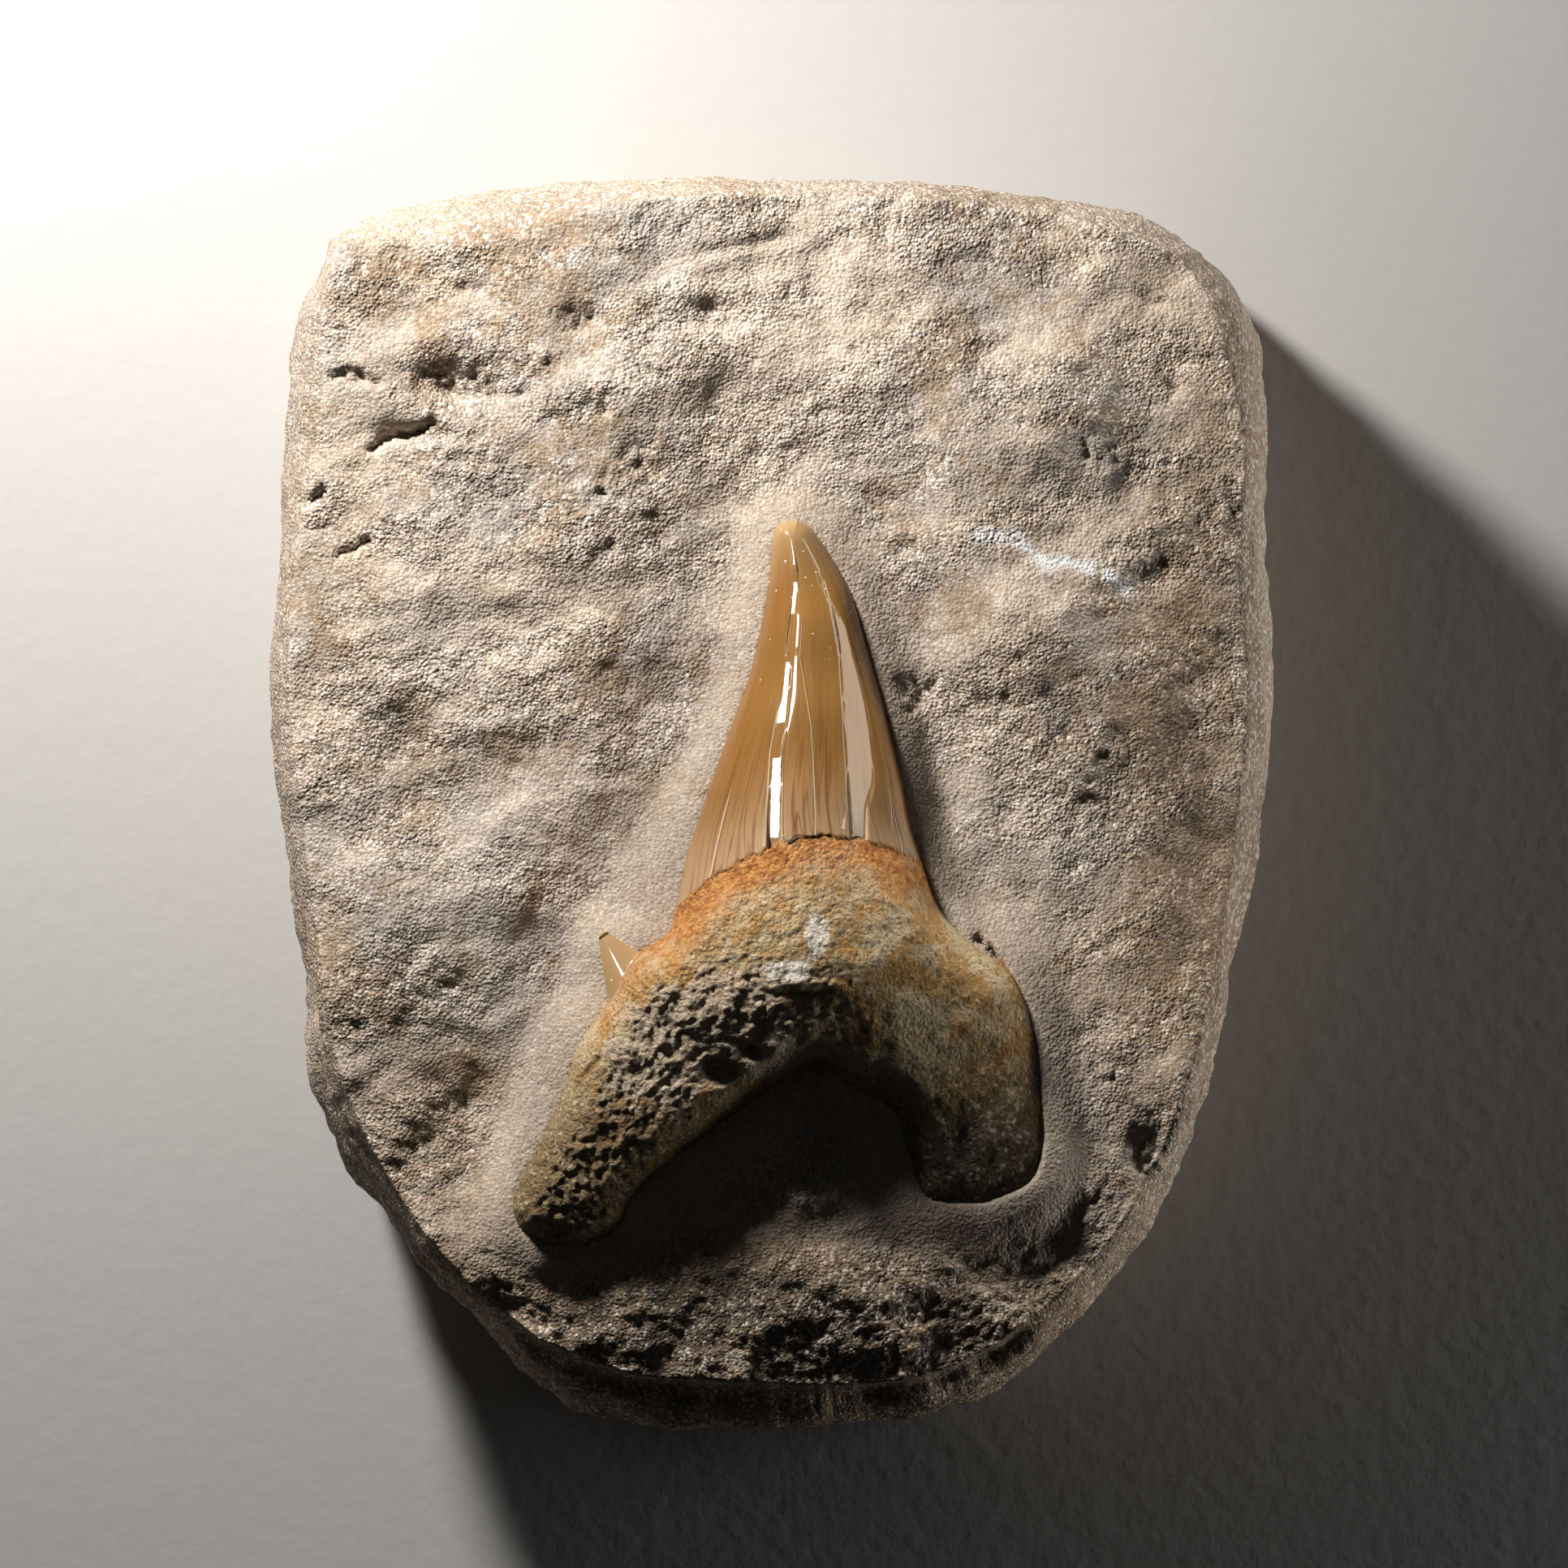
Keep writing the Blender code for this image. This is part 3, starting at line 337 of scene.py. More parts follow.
# Two flat plates of the enamel: number, share down the crown where it starts, then points down its
# middle with x, y, height above the collar, in millimetres, and its slope across
FLAT_PLATES = [
    (2, 0.1, [
        (2.04, 19.4, 2.22, 0.27), (1.8, 16.8, 2.51, 0.27), (1.74, 16.2, 2.58, 0.35),
        (1.44, 13.0, 2.95, 0.35), (1.37, 12.4, 3.03, 0.27), (0.86, 7.4, 3.7, 0.27),
        (0.8, 6.8, 3.79, 0.35), (0.62, 4.8, 4.09, 0.35), (0.56, 4.2, 4.18, 0.27),
        (0.2, -2.6, 5.27, 0.27),
    ]),
    (5, 0.2, [
        (4.27, 19.4, 2.03, -0.5), (5.24, 17.2, 2.28, -0.5), (6.42, 13.3, 2.42, -0.5),
        (7.21, 8.2, 2.97, -0.5), (7.39, -0.4, 4.1, -0.5), (7.4, -2.6, 4.4, -0.5),
    ]),
]

# Pale smears of dust on the root, and two small pale discs on its rusty band, in millimetres
PALE_SMEARS = [
    (3.9, -10.9, 1.2, 1.9, 1.3), (1.3, -13.9, 2.3, 1.1, 1.3), (1.7, -2.95, 0.45, 0.4, 1.4),
    (4.6, -2.95, 0.9, 0.5, 1.4),
]

# Painted shade on the right lobe, in millimetres: x, y, reach across, reach up
SHADED_LOBE = (18.5, -31.0, 9.0, 8.5)

# Colours
CREAM = (0.66, 0.535, 0.42)
GREY_ROCK = (0.48, 0.42, 0.37)
BROWN_ROCK = (0.37, 0.25, 0.15)
DARK_ROCK = (0.13, 0.095, 0.065)
PALE_ROCK = (0.48, 0.385, 0.30)
BLEACHED = (0.80, 0.66, 0.53)
DARK_GRAIN_AND_GAP_SHADE = (0.16, 0.12, 0.085)
PALE_GRAIN = (0.88, 0.79, 0.68)
ROCK_DIRT_AND_SHADE = (0.24, 0.17, 0.11)
VEIN_WHITE = (0.86, 0.85, 0.84)
ENAMEL_AMBER = (0.23, 0.105, 0.023)
ENAMEL_HONEY = (0.39, 0.195, 0.05)
ENAMEL_DEEP = (0.25, 0.10, 0.018)
PALE_TIP_AND_SHEEN = (0.42, 0.265, 0.12)
ENAMEL_BASE = (0.37, 0.235, 0.125)
STRIA = (0.17, 0.05, 0.015)
CRACK_DARK = (0.16, 0.08, 0.035)
CRACK_PALE_AND_GLINT = (0.75, 0.62, 0.44)
RUST = (0.42, 0.14, 0.03)
RUST_BRIGHT = (0.62, 0.30, 0.08)
OCHRE = (0.50, 0.28, 0.095)
ROOT_CREAM = (0.60, 0.46, 0.27)
ROOT_PALE = (0.76, 0.63, 0.43)
OLIVE = (0.22, 0.145, 0.06)
LOBE_SHADE_COLOUR = (0.065, 0.045, 0.022)
CLINGING_ROCK = (0.62, 0.49, 0.36)
SMEAR = (0.92, 0.82, 0.70)
ROOT_DIRT_AND_SHADE = (0.12, 0.08, 0.04)
ROOT_SPECK = (0.10, 0.07, 0.04)
FLOOR_COLOUR = (0.52, 0.505, 0.485)
WHITE = (1.0, 1.0, 1.0)
WARM_WHITE = (1.0, 0.98, 0.95)
PANEL_WHITE = (1.0, 0.92, 0.80)

# A key lamp at the top left, a narrow strip for the enamel's gloss, a pale panel at its right and a
# low lamp for the right flank: name, place, target, size, power in watts and colour, and whether each
# lights surfaces and shines in glossy ones
MIDDLE = (0.0, 0.0, FACE)
LAMPS = [
    ("key", (-0.11, 0.17, 0.118), MIDDLE, (0.03, 0.03), 0.95, WARM_WHITE, True, True),
    ("strip", (-0.307, 0.185, 0.55), MIDDLE, (0.04, 0.14), 0.50, WHITE, False, True),
    ("panel", (0.40, 0.12, 0.32), MIDDLE, (0.05, 0.40), 0.36, PANEL_WHITE, False, True),
    ("side", (0.35, 0.0, 0.016), (0.04, 0.0, 0.016), (0.02, 0.2), 0.75, WHITE, True, False),
]
SKY_STRENGTH = 0.008
CAMERA_PLACE = (1.05 * MM, 2.03 * MM, FACE + 0.8)
CAMERA_LENS, CAMERA_SENSOR = 212.95, 36.0
FLOOR_REACH = 3.0


def smoothstep(low, high, value):
    """0 below low, 1 above high and a smooth rise between them."""
    share = np.clip((value - low) / (high - low), 0.0, 1.0)
    return share * share * (3.0 - 2.0 * share)


def smooth_line(knots, shares):
    """Points on a smooth curve through the knots, at shares of its length."""
    knots = np.array(knots)
    extended = np.vstack([2 * knots[0] - knots[1], knots, 2 * knots[-1] - knots[-2]])
    step = np.linspace(0.0, 1.0, CURVE_STEPS, endpoint=False)[:, None]
    spans = []
    for before, start, end, after in zip(extended, extended[1:], extended[2:], extended[3:]):
        bend = 2 * before - 5 * start + 4 * end - after
        twist = 3 * start - before - 3 * end + after
        spans.append(start + 0.5 * ((end - before) * step + bend * step**2 + twist * step**3))
    dense = np.vstack([*spans, knots[-1:]])
    run = np.concatenate([[0.0], np.cumsum(np.linalg.norm(np.diff(dense, axis=0), axis=1))])
    at = np.asarray(shares) * run[-1]
    return np.column_stack([np.interp(at, run, dense[:, axis]) for axis in range(2)])


def curve_through(points, shares):
    """Points on a smooth curve through the given millimetre points, at shares of its length."""
    return smooth_line(np.array(points) * MM, shares)


def patch(top, foot, left, right, across, down):
    """A grid of points between four edges; across and down are the shares of its columns and rows."""
    top, foot = curve_through(top, across), curve_through(foot, across)
    left, right = curve_through(left, down), curve_through(right, down)
    s, t = across[None, :, None], down[:, None, None]
    between_ends = (1 - t) * top[None] + t * foot[None]
    between_sides = (1 - s) * left[:, None] + s * right[:, None]
    corners = (1 - t) * ((1 - s) * top[0] + s * top[-1]) + t * ((1 - s) * foot[0] + s * foot[-1])
    return between_ends + between_sides - corners


def outline_of(grid):
    """The points, or the vertex numbers, round a grid's edge, clockwise from its first corner."""
    return np.concatenate([grid[0, :-1], grid[:-1, -1], grid[-1, :0:-1], grid[:0:-1, 0]])


def outward(loop):
    """Unit directions in plan that point out of a clockwise loop."""
    along = np.roll(loop, -4, axis=0) - np.roll(loop, 4, axis=0)
    normal = np.column_stack([-along[:, 1], along[:, 0]])
    return normal / np.linalg.norm(normal, axis=1)[:, None]


def distance_to_line(points, line):
    """How far each point is from an open line of points."""
    nearest = np.full(len(points), np.inf)
    for start, end in zip(line, line[1:]):
        side = end - start
        share = np.clip((points - start) @ side / max(side @ side, LEAST_SQUARE), 0.0, 1.0)
        nearest = np.minimum(nearest, np.linalg.norm(points - start - share[:, None] * side, axis=1))
    return nearest


def distance_to(points, outline):
    """How far each point is from a closed outline, negative inside it."""
    inside = np.zeros(len(points), bool)
    for start, end in zip(outline, np.roll(outline, -1, axis=0)):
        if start[1] != end[1]:
            crossing = start[0] + (points[:, 1] - start[1]) * (end[0] - start[0]) / (end[1] - start[1])
            between = (points[:, 1] < start[1]) != (points[:, 1] < end[1])
            inside ^= between & (points[:, 0] < crossing)
    nearest = distance_to_line(points, np.vstack([outline, outline[:1]]))
    return np.where(inside, -nearest, nearest)


def blend(points, spots, spread):
    """Heights that come from the spots nearby, with a level place round each of them."""
    spots = np.array(spots) * MM
    away = np.linalg.norm(points[:, None] - spots[None, :, :2], axis=2)
    weight = np.exp(-((away / spread) ** 2)) + LEAST_WEIGHT
    return (weight * spots[:, 2]).sum(axis=1) / weight.sum(axis=1)


def surface_through(points, spots):
    """Heights of the smoothest surface that passes through all the spots."""
    spots = np.array(spots)
    plan = spots[:, :2]
    bend = np.linalg.norm(plan[:, None] - plan[None], axis=2) ** 3
    tilt = np.column_stack([np.ones(len(plan)), plan])
    system = np.block([[bend, tilt], [tilt.T, np.zeros((3, 3))]])
    weights = np.linalg.solve(system, np.concatenate([spots[:, 2], np.zeros(3)]))
    away = np.linalg.norm(points[:, None] / MM - plan[None], axis=2)
    return MM * (np.column_stack([away**3, np.ones(len(points)), points / MM]) @ weights)


def swell(points, x, y, across, up):
    """A smooth bump of height 1 whose reach is given in millimetres."""
    shifted = (points - np.array([x, y]) * MM) / (np.array([across, up]) * MM)
    return np.exp(-((shifted**2).sum(axis=1)))


def swells(points, forms):
    """The sum of smooth bumps, each with its place, reach and strength."""
    return sum(strength * swell(points, *form) for *form, strength in forms)


def unevenness(places, height, size, start, octaves=3, crispness=0.9):
    """Repeatable lumps of this height and size at places in space."""
    shift = Vector((start, -start, start / 2))
    lumps = [noise.fractal(Vector(place) / size + shift, crispness, 2.0, octaves) for place in places]
    return height * np.array(lumps)


def grains(places, height, size, start, gap=0.0):
    """Rounded grains of this height and size; the gaps between them lie lower by a share of it."""
    shift = Vector((start, -start, start / 2))
    away = [noise.noise(Vector(place) / size + shift, noise_basis="VORONOI_F1") for place in places]
    return height * (np.clip(0.5 - 0.8 * np.array(away), 0.0, 1.0) - gap)


def flat_places(points):
    """Points of the plan as places in space."""
    return np.column_stack([points, np.zeros(len(points))])


def slanted(points, turn=CHIP_TURN, stretch=2.2):
    """Places measured along and across the rock's grain, which rises to the right."""
    along = (points[:, 0] * math.cos(turn) + points[:, 1] * math.sin(turn)) / stretch
    over = points[:, 1] * math.cos(turn) - points[:, 0] * math.sin(turn)
    return np.column_stack([along, over, np.zeros(len(points))])


def ledged(height, step, share=0.8):
    """A height pressed into flat-topped ledges, one for each step."""
    turns = 2 * math.pi / step
    return height - share * np.sin(turns * height) / turns


def foot_fall(points):
    """How far the face has fallen towards the foot, in ledges, as a share of the whole drop."""
    wander = unevenness(flat_places(points), *FOOT_WANDER)
    share = smoothstep(FOOT_START, FOOT_END, points[:, 1] + wander)
    return ledged(share, 1 / FOOT_LEDGES, LEDGE_FLATNESS)


def collar_width(points):
    """How far from the tooth the trough of the carved collar lies."""
    return COLLAR_WIDTH + MM * swells(points, COLLAR_FORMS)


def rock_level(points, away):
    """Height of the rock's face over each point, with the collar carved round the tooth."""
    away, width = np.maximum(away, 0.0), collar_width(points)
    reach = np.where(away < width, COLLAR_SLOPE * width, TROUGH_REACH)
    height = unevenness(flat_places(points), *FACE_WAVES)
    height += unevenness(flat_places(points), *FACE_LUMPS) + MM * swells(points, ROCK_FORMS)
    fall = foot_fall(points)
    height *= (1 - np.exp(-((away / width) ** 2))) * (1 - FOOT_CALM * np.minimum(2 * fall, 1.0))
    height -= COLLAR_DEPTH * np.exp(-(((away - width) / reach) ** 2))
    return FACE + height + MM * swells(points, MOUNDS) - FOOT_DROP * fall


def carved(points, away):
    """1 on the smooth carved collar round the tooth, 0 on the rough rock beyond it."""
    width = collar_width(points)
    wander = unevenness(flat_places(points), *CARVED_WANDER)
    return 1 - smoothstep(0.5 * width, 1.3 * width, away + wander)


def roughness_of(points, smooth):
    """How rough the rock's face is: in patches that rise to the right, low on the collar."""
    patches = smoothstep(-0.3, 0.3, unevenness(slanted(points), *PATCHES))
    foot = smoothstep(*ROUGH_FOOT, points[:, 1])
    rough = 0.25 + 0.75 * np.maximum(patches, foot)
    return rough * (1 - 0.8 * smooth)


def face_relief(points, rough, smooth):
    """Relief of the rock's face: chips that rise to the right, crumbs, grains, cracks and pits."""
    flat = flat_places(points)
    lain = slanted(points, stretch=1.6)
    foot = smoothstep(*LAYERED_FOOT, points[:, 1])
    low = smoothstep(*SANDY_FOOT, points[:, 1])
    turned = smoothstep(*FALLEN_ACROSS, points[:, 0]) * smoothstep(*FALLEN_DOWN, points[:, 1])
    chips = (1 - turned) * unevenness(lain, *CHIPS, octaves=5, crispness=0.6)
    fallen = slanted(points, turn=FALLEN_TURN, stretch=2.0)
    chips += turned * unevenness(fallen, *FALLEN_CHIPS, octaves=5, crispness=0.6)
    relief = CHIP_HEIGHT * chips * (1 - 0.8 * smooth) * (0.4 + 0.6 * rough)
    relief += rough * unevenness(flat, *CRUMBS)
    relief += rough * (1 + 0.9 * low) * grains(flat, *ROCK_GRAINS)
    relief += unevenness(flat, *FINE_GRAINS, octaves=2)
    pitted = smoothstep(0.2, 0.6, unevenness(lain, *SMALL_PITS, crispness=0.6))
    relief -= PIT_DEPTH * rough * (1 - 0.5 * foot) * pitted
    layered = unevenness(flat * np.array([0.35, 1.0, 1.0]), *FOOT_LAYERS, octaves=4)
    relief += foot * ledged(layered, LAYER_STEP)
    marks = unevenness(slanted(points, turn=TOOL_TURN, stretch=8.0), *TOOL_MARKS, octaves=2)
    relief += marks * swell(points, *MARKED_PLACE)
    ragged = unevenness(flat, *RAGGED_CRACKS)
    for line, half_width, depth in ROCK_CRACKS:
        away = distance_to_line(points, curve_through(line, np.linspace(0, 1, CRACK_STEPS)))
        relief -= depth * MM * np.exp(-(((away + ragged) / (half_width * MM)) ** 2))
    pocked = 0.3 + 1.1 * smoothstep(-0.2, 0.4, unevenness(flat, *POCKS, octaves=2))
    return relief - MM * pocked * swells(points, ROCK_PITS)


def bed_depth(points, away):
    """How far the bed under the tooth lies below the collar."""
    inside = np.maximum(-away, 0.0)
    rooted = smoothstep(*BED_ROOTED, points[:, 1])
    dome = 1 - (1 - np.clip(inside / ROOT_ROUNDING, 0.0, 1.0)) ** 2
    rim_depth, back_depth = depths_below(rooted)
    return smoothstep(*BED_EDGE, inside) * (rim_depth + back_depth * dome**BACK_CURVE + GAP)


def depths_below(rooted):
    """How deep the tooth's widest line lies below the rock beside it, and its back below that line."""
    rim_depth = CROWN_RIM_DEPTH + rooted * (ROOT_RIM_DEPTH - CROWN_RIM_DEPTH)
    return rim_depth, CROWN_BACK + rooted * (ROOT_BACK - CROWN_BACK)


def flank_relief(places):
    """How far the broken flank stands out at each place: broad waves, lumps and flat-lying ledges."""
    ledges = places * np.array([1.0, 1.0, FLANK_STRETCH])
    lumps = unevenness(places, *FLANK_WAVES) + unevenness(ledges, *FLANK_LUMPS)
    return lumps * (1 - FLANK_CALM * smoothstep(CALM_START, CALM_END, places[:, 1])) - FLANK_INSET


def quads(index, flip=False):
    """Faces between the neighbouring rows and columns of a grid of vertex numbers."""
    corners = [index[:-1, :-1], index[1:, :-1], index[1:, 1:], index[:-1, 1:]]
    corners = np.stack(corners, axis=-1).reshape(-1, 4)
    return (corners[:, ::-1] if flip else corners).tolist()


def closed(loop):
    """A loop of vertex numbers with its first one added at the end."""
    return np.concatenate([loop, loop[:1]])


def make_piece(name, vertices, faces, fields):
    """An object from vertices and faces, with one vertex attribute for each named field."""
    mesh = bpy.data.meshes.new(name)
    mesh.from_pydata(np.asarray(vertices).tolist(), [], faces)
    for field, values in fields.items():
        kind, part = ("FLOAT", "value") if values.ndim == 1 else ("FLOAT_VECTOR", "vector")
        attribute = mesh.attributes.new(field, kind, "POINT")
        attribute.data.foreach_set(part, values.astype(np.float32).ravel())
    mesh.shade_smooth()
    piece = bpy.data.objects.new(name, mesh)
    bpy.context.collection.objects.link(piece)
    return piece


def ring_places(edge, rim, at_foot, share):
    """Places on the flank at a share of the way down its profile."""
    side = smooth_line(SIDE_PROFILE, [share])[0]
    foot = smooth_line(FOOT_PROFILE, [share])[0]
    out, level = side[:, None] + at_foot * (foot - side)[:, None]
    plan = edge[:, :2] + out[:, None] * (rim - edge[:, :2])
    places = np.column_stack([plan, edge[:, 2] * level])
    directions = outward(plan)
    relief = flank_relief(places) * np.clip(out, 0.0, 1.0)
    fine = unevenness(places * np.array([1.0, 1.0, 1.6]), *FLANK_CHIPS)
    fine += unevenness(places, *FLANK_GRAINS)
    fine *= np.clip(4 * share, 0.0, 1.0) * np.clip(12 * level, 0.0, 1.0)
    places[:, :2] += (relief + fine * np.clip(out, 0.3, 1.0))[:, None] * directions
    places[:, 2] += fine * np.clip(1 - out, 0.0, 1.0)
    return places


def rock_mesh(tooth_outline):
    """The rock: a fine face with the tooth's bed in it, then rings down the flanks, then the flat back."""
    across = np.linspace(0.0, 1.0, FACE_COLUMNS + 1)
    down = np.linspace(0.0, 1.0, FACE_ROWS + 1)
    face = patch(FACE_TOP, FACE_FOOT, FACE_LEFT, FACE_RIGHT, across, down)
    rim = outline_of(patch(RIM_TOP, RIM_FOOT, RIM_LEFT, RIM_RIGHT, across, down))
    points = face.reshape(-1, 2)
    away = distance_to(points, tooth_outline)
    smooth = carved(points, away)
    rough = roughness_of(points, smooth)
    relief = face_relief(points, rough, smooth)
    heights = rock_level(points, away) + relief - bed_depth(points, away)
    top = np.column_stack([points, heights])
    index = np.arange(len(points)).reshape(face.shape[:2])
    rings, flank_faces = flank_rings(top, outline_of(index), rim)
    vertices = np.vstack([top, *rings])
    total = len(vertices)
    fields = {
        "rough": padded(rough, total, FLANK_ROUGHNESS),
        "carved": padded(smooth, total),
        "hollow": padded(np.clip(0.5 - relief / ROCK_RELIEF, 0.0, 1.0), total, 1.0),
        "vein": padded(vein_share(points), total),
        "stain": np.clip(swells(vertices[:, :2], STAINS_AND_FOOT_DARKENING), -1.0, 2.0),
    }
    return make_piece("rock", vertices, quads(index) + flank_faces, fields)


def flank_rings(top, upper, rim):
    """Rings of vertices from the face's edge down to the flat back, and the faces that join them."""
    edge, count = top[upper], len(top)
    ragged = FOOT_SHARE + unevenness(edge, *FOOT_RAGGED)
    at_foot = np.clip(ragged * smoothstep(FOOT_EDGE_START, FOOT_EDGE_END, edge[:, 1]), 0.0, 1.0)
    bevel_shares = np.linspace(0.0, BEVEL_SHARE, BEVEL_RINGS + 1)[1:]
    flank_shares = np.linspace(BEVEL_SHARE, 1.0, FLANK_RINGS + 1)[1:]
    rings, faces = [], []
    for share in [*bevel_shares, *flank_shares]:
        places = ring_places(edge, rim, at_foot, share)[:: 1 if share <= BEVEL_SHARE else FLANK_STEP]
        if share == 1.0:
            places[:, 2] = 0.0
        lower = count + np.arange(len(places))
        if len(lower) == len(upper):
            faces += quads(np.stack([closed(upper), closed(lower)]), flip=True)
        else:
            faces += faces_to_coarser(closed(upper), closed(lower))
        rings.append(places)
        upper, count = lower, count + len(places)
    faces.append(upper[::-1].tolist())
    return rings, faces


def faces_to_coarser(fine, below):
    """Faces from a ring to one below it that has every second of its vertices."""
    faces = []
    for spot in range(len(below) - 1):
        over = fine[spot * FLANK_STEP : (spot + 1) * FLANK_STEP + 1]
        faces.append([*over.tolist(), int(below[spot + 1]), int(below[spot])])
    return faces


def vein_share(points):
    """1 on the white vein and 0 away from it."""
    away = distance_to_line(points, curve_through(WHITE_VEIN, np.linspace(0, 1, 40)))
    wander = unevenness(flat_places(points), *VEIN_WANDER)
    return np.exp(-(((away + wander) / VEIN_WIDTH) ** 2))


def padded(values, length, rest=0.0):
    """The values, with this one repeated after them up to this length."""
    return np.concatenate([values, np.full(length - len(values), rest)])


def tooth_grid():
    """Plan of the tooth, row by row: from the tip to the enamel line, then on to the root's base."""
    even = np.linspace(0.0, 1.0, TOOTH_COLUMNS + 1)
    across = (even + (1 - np.cos(np.pi * even)) / 2) / 2
    crown_down = np.linspace(0.0, 1.0, CROWN_ROWS + 1)
    root_down = np.linspace(0.0, 1.0, ROOT_ROWS + 1)
    tip = [CROWN_LEFT[0], CROWN_LEFT[0]]
    crown = patch(tip, ENAMEL_LINE, CROWN_LEFT, CROWN_RIGHT, across, crown_down)
    root = patch(ENAMEL_LINE, ROOT_BASE, ROOT_LEFT, ROOT_RIGHT, across, root_down)
    grid = np.vstack([crown, root[1:]])
    by_line = np.exp(-(((root_share() - 1) / LINE_RAGGED_WIDTH) ** 2)) * np.sin(np.pi * across)
    ragged = unevenness(flat_places(grid.reshape(-1, 2)), *ENAMEL_RAGGED).reshape(by_line.shape)
    grid[:, :, 1] += by_line * ragged
    return grid


def root_share():
    """How far down the tooth each row is: 1 at the enamel line and 2.13 at the root's base."""
    root_rows = np.arange(1, ROOT_ROWS + 1) / ROOT_ROWS
    return np.concatenate([np.linspace(0.0, 1.0, CROWN_ROWS + 1), 1 + root_rows * ROOT_LENGTH])[:, None]


def tooth_heights(grid):
    """Heights of the tooth's face and hidden back over each point of its grid."""
    points = grid.reshape(-1, 2)
    edge = np.maximum(-distance_to(points, outline_of(grid)), 0.0).reshape(grid.shape[:2])
    row = root_share()
    rooted = smoothstep(ROOTED_START, ROOTED_END, row)
    half_width = np.linalg.norm(grid[:, -1] - grid[:, 0], axis=1)[:, None] / 2
    crown_rounding = np.maximum(CROWN_ROUNDING * half_width, LEAST_ROUNDING)
    rounding = crown_rounding + rooted * (ROOT_ROUNDING - crown_rounding)
    dome = 1 - (1 - np.clip(edge / rounding, 0.0, 1.0)) ** 2
    crown_rise = blend(points, CROWN_HEIGHTS, HEIGHT_SPREAD).reshape(dome.shape)
    root_rise = surface_through(points, ROOT_HEIGHTS) + unevenness(flat_places(points), *ROOT_LUMPS)
    rise = crown_rise + rooted * (root_rise.reshape(dome.shape) - crown_rise) - ENAMEL_STEP * (row > 1)
    rim_depth, back_depth = depths_below(rooted)
    rim = BESIDE_TOOTH - rim_depth
    curve = CROWN_CURVE + rooted * (ROOT_CURVE - CROWN_CURVE)
    return rim + (rise + rim_depth) * dome**curve, rim - back_depth * dome**BACK_CURVE, dome


def stuck_rock(points):
    """1 where grains of the rock still cling to the root."""
    cover = swells(points, STUCK_ROCK) + unevenness(flat_places(points), *STUCK_EDGE)
    return smoothstep(*STUCK_COVER, cover)


def root_relief(points, stuck):
    """Fine relief of the root: clinging grains, knobs on the left lobe, pores and a few marks."""
    flat = flat_places(points)
    rugged = 0.4 + 0.6 * smoothstep(*RUGGED_ACROSS, points[:, 0])
    relief = rugged * (unevenness(flat, *ROOT_SWELLS) + unevenness(flat, *ROOT_PORES, octaves=2))
    relief += rugged * grains(flat, *ROOT_GRAINS, gap=0.3)
    relief += stuck * (grains(flat, *STUCK_GRAINS) + grains(flat, *STUCK_SAND) - STUCK_SINK)
    relief += stuck * unevenness(flat, *STUCK_SWELLS)
    relief += swell(points, *LEFT_LOBE) * grains(flat, *KNOBS, gap=0.3) + MM * swells(points, ROOT_FORMS)
    groove = distance_to_line(points, curve_through(ROOT_GROOVE, np.linspace(0, 1, 8)))
    return relief - GROOVE_DEPTH * np.exp(-((groove / GROOVE_WIDTH) ** 2))


def crack_lines(grid):
    """The place of each crack along X at every crown row, drawn on towards the tip and the root."""
    rows = grid[: CROWN_ROWS + 1]
    share = np.linspace(0.0, 1.0, CROWN_ROWS + 1)
    lines = []
    for _, crack in CRACKS:
        path = np.array(crack) * MM
        middle = rows.mean(axis=1)
        at = np.interp(middle[:, 1], path[::-1, 1], path[::-1, 0])
        # above its first point a crack keeps its share of the crown's width
        first = np.argmin(np.abs(middle[:, 1] - path[0, 1]))
        width = rows[:, -1, 0] - rows[:, 0, 0]
        held = rows[:, 0, 0] + (at[first] - rows[first, 0, 0]) / width[first] * width
        lines.append(np.where(share < share[first], held, at))
    return np.array(lines).T


def growth_lines(grid):
    """For each crown vertex, its plate number across, with whole numbers at the cracks."""
    lines = crack_lines(grid)
    plate = np.zeros(grid.shape[:2])
    for row in range(1, CROWN_ROWS + 1):
        xs = grid[row, :, 0]
        stops = np.concatenate([[xs[0]], lines[row], [xs[-1]]])
        stops = np.maximum.accumulate(stops)
        plate[row] = np.interp(xs, stops, np.arange(len(stops)))
    plate[0] = plate[1]
    plate[CROWN_ROWS + 1 :] = plate[CROWN_ROWS]
    return plate


def lay_plate(face, grid, plate, number, start, course):
    """Make one enamel plate flat across, so that it stands a little off its neighbours."""
    course = np.array(course)[::-1]
    down = grid[:, :, 1] / MM
    middle, height, slope = (np.interp(down, course[:, 1], course[:, part]) for part in (0, 2, 3))
    level = BESIDE_TOOTH + height * MM + slope * (grid[:, :, 0] - middle * MM)
    inner = smoothstep(number - 0.04, number + 0.08, plate)
    inner *= smoothstep(number + 1.04, number + 0.92, plate)
    inner *= smoothstep(start, start + 0.1, root_share()) * (root_share() <= 1.0)
    return face + inner * (level - face)


def back_faces(front, back):
    """Faces of the coarser back, whose outer ones take in every vertex of the front's outline."""
    faces = []
    rows, columns = back.shape
    for row in range(rows - 1):
        high, low = row * BACK_STEP, (row + 1) * BACK_STEP
        for column in range(columns - 1):
            near, far = column * BACK_STEP, (column + 1) * BACK_STEP
            left = front[high:low, 0] if column == 0 else back[row : row + 1, column]
            foot = front[-1, near:far] if row == rows - 2 else back[row + 1 : row + 2, column]
            right = front[low:high:-1, -1] if column == columns - 2 else back[row + 1 : row + 2, column + 1]
            corners = [*left.tolist(), *foot.tolist(), *right.tolist(), int(back[row, column + 1])]
            faces.append(list(dict.fromkeys(corners))[::-1])
    return faces


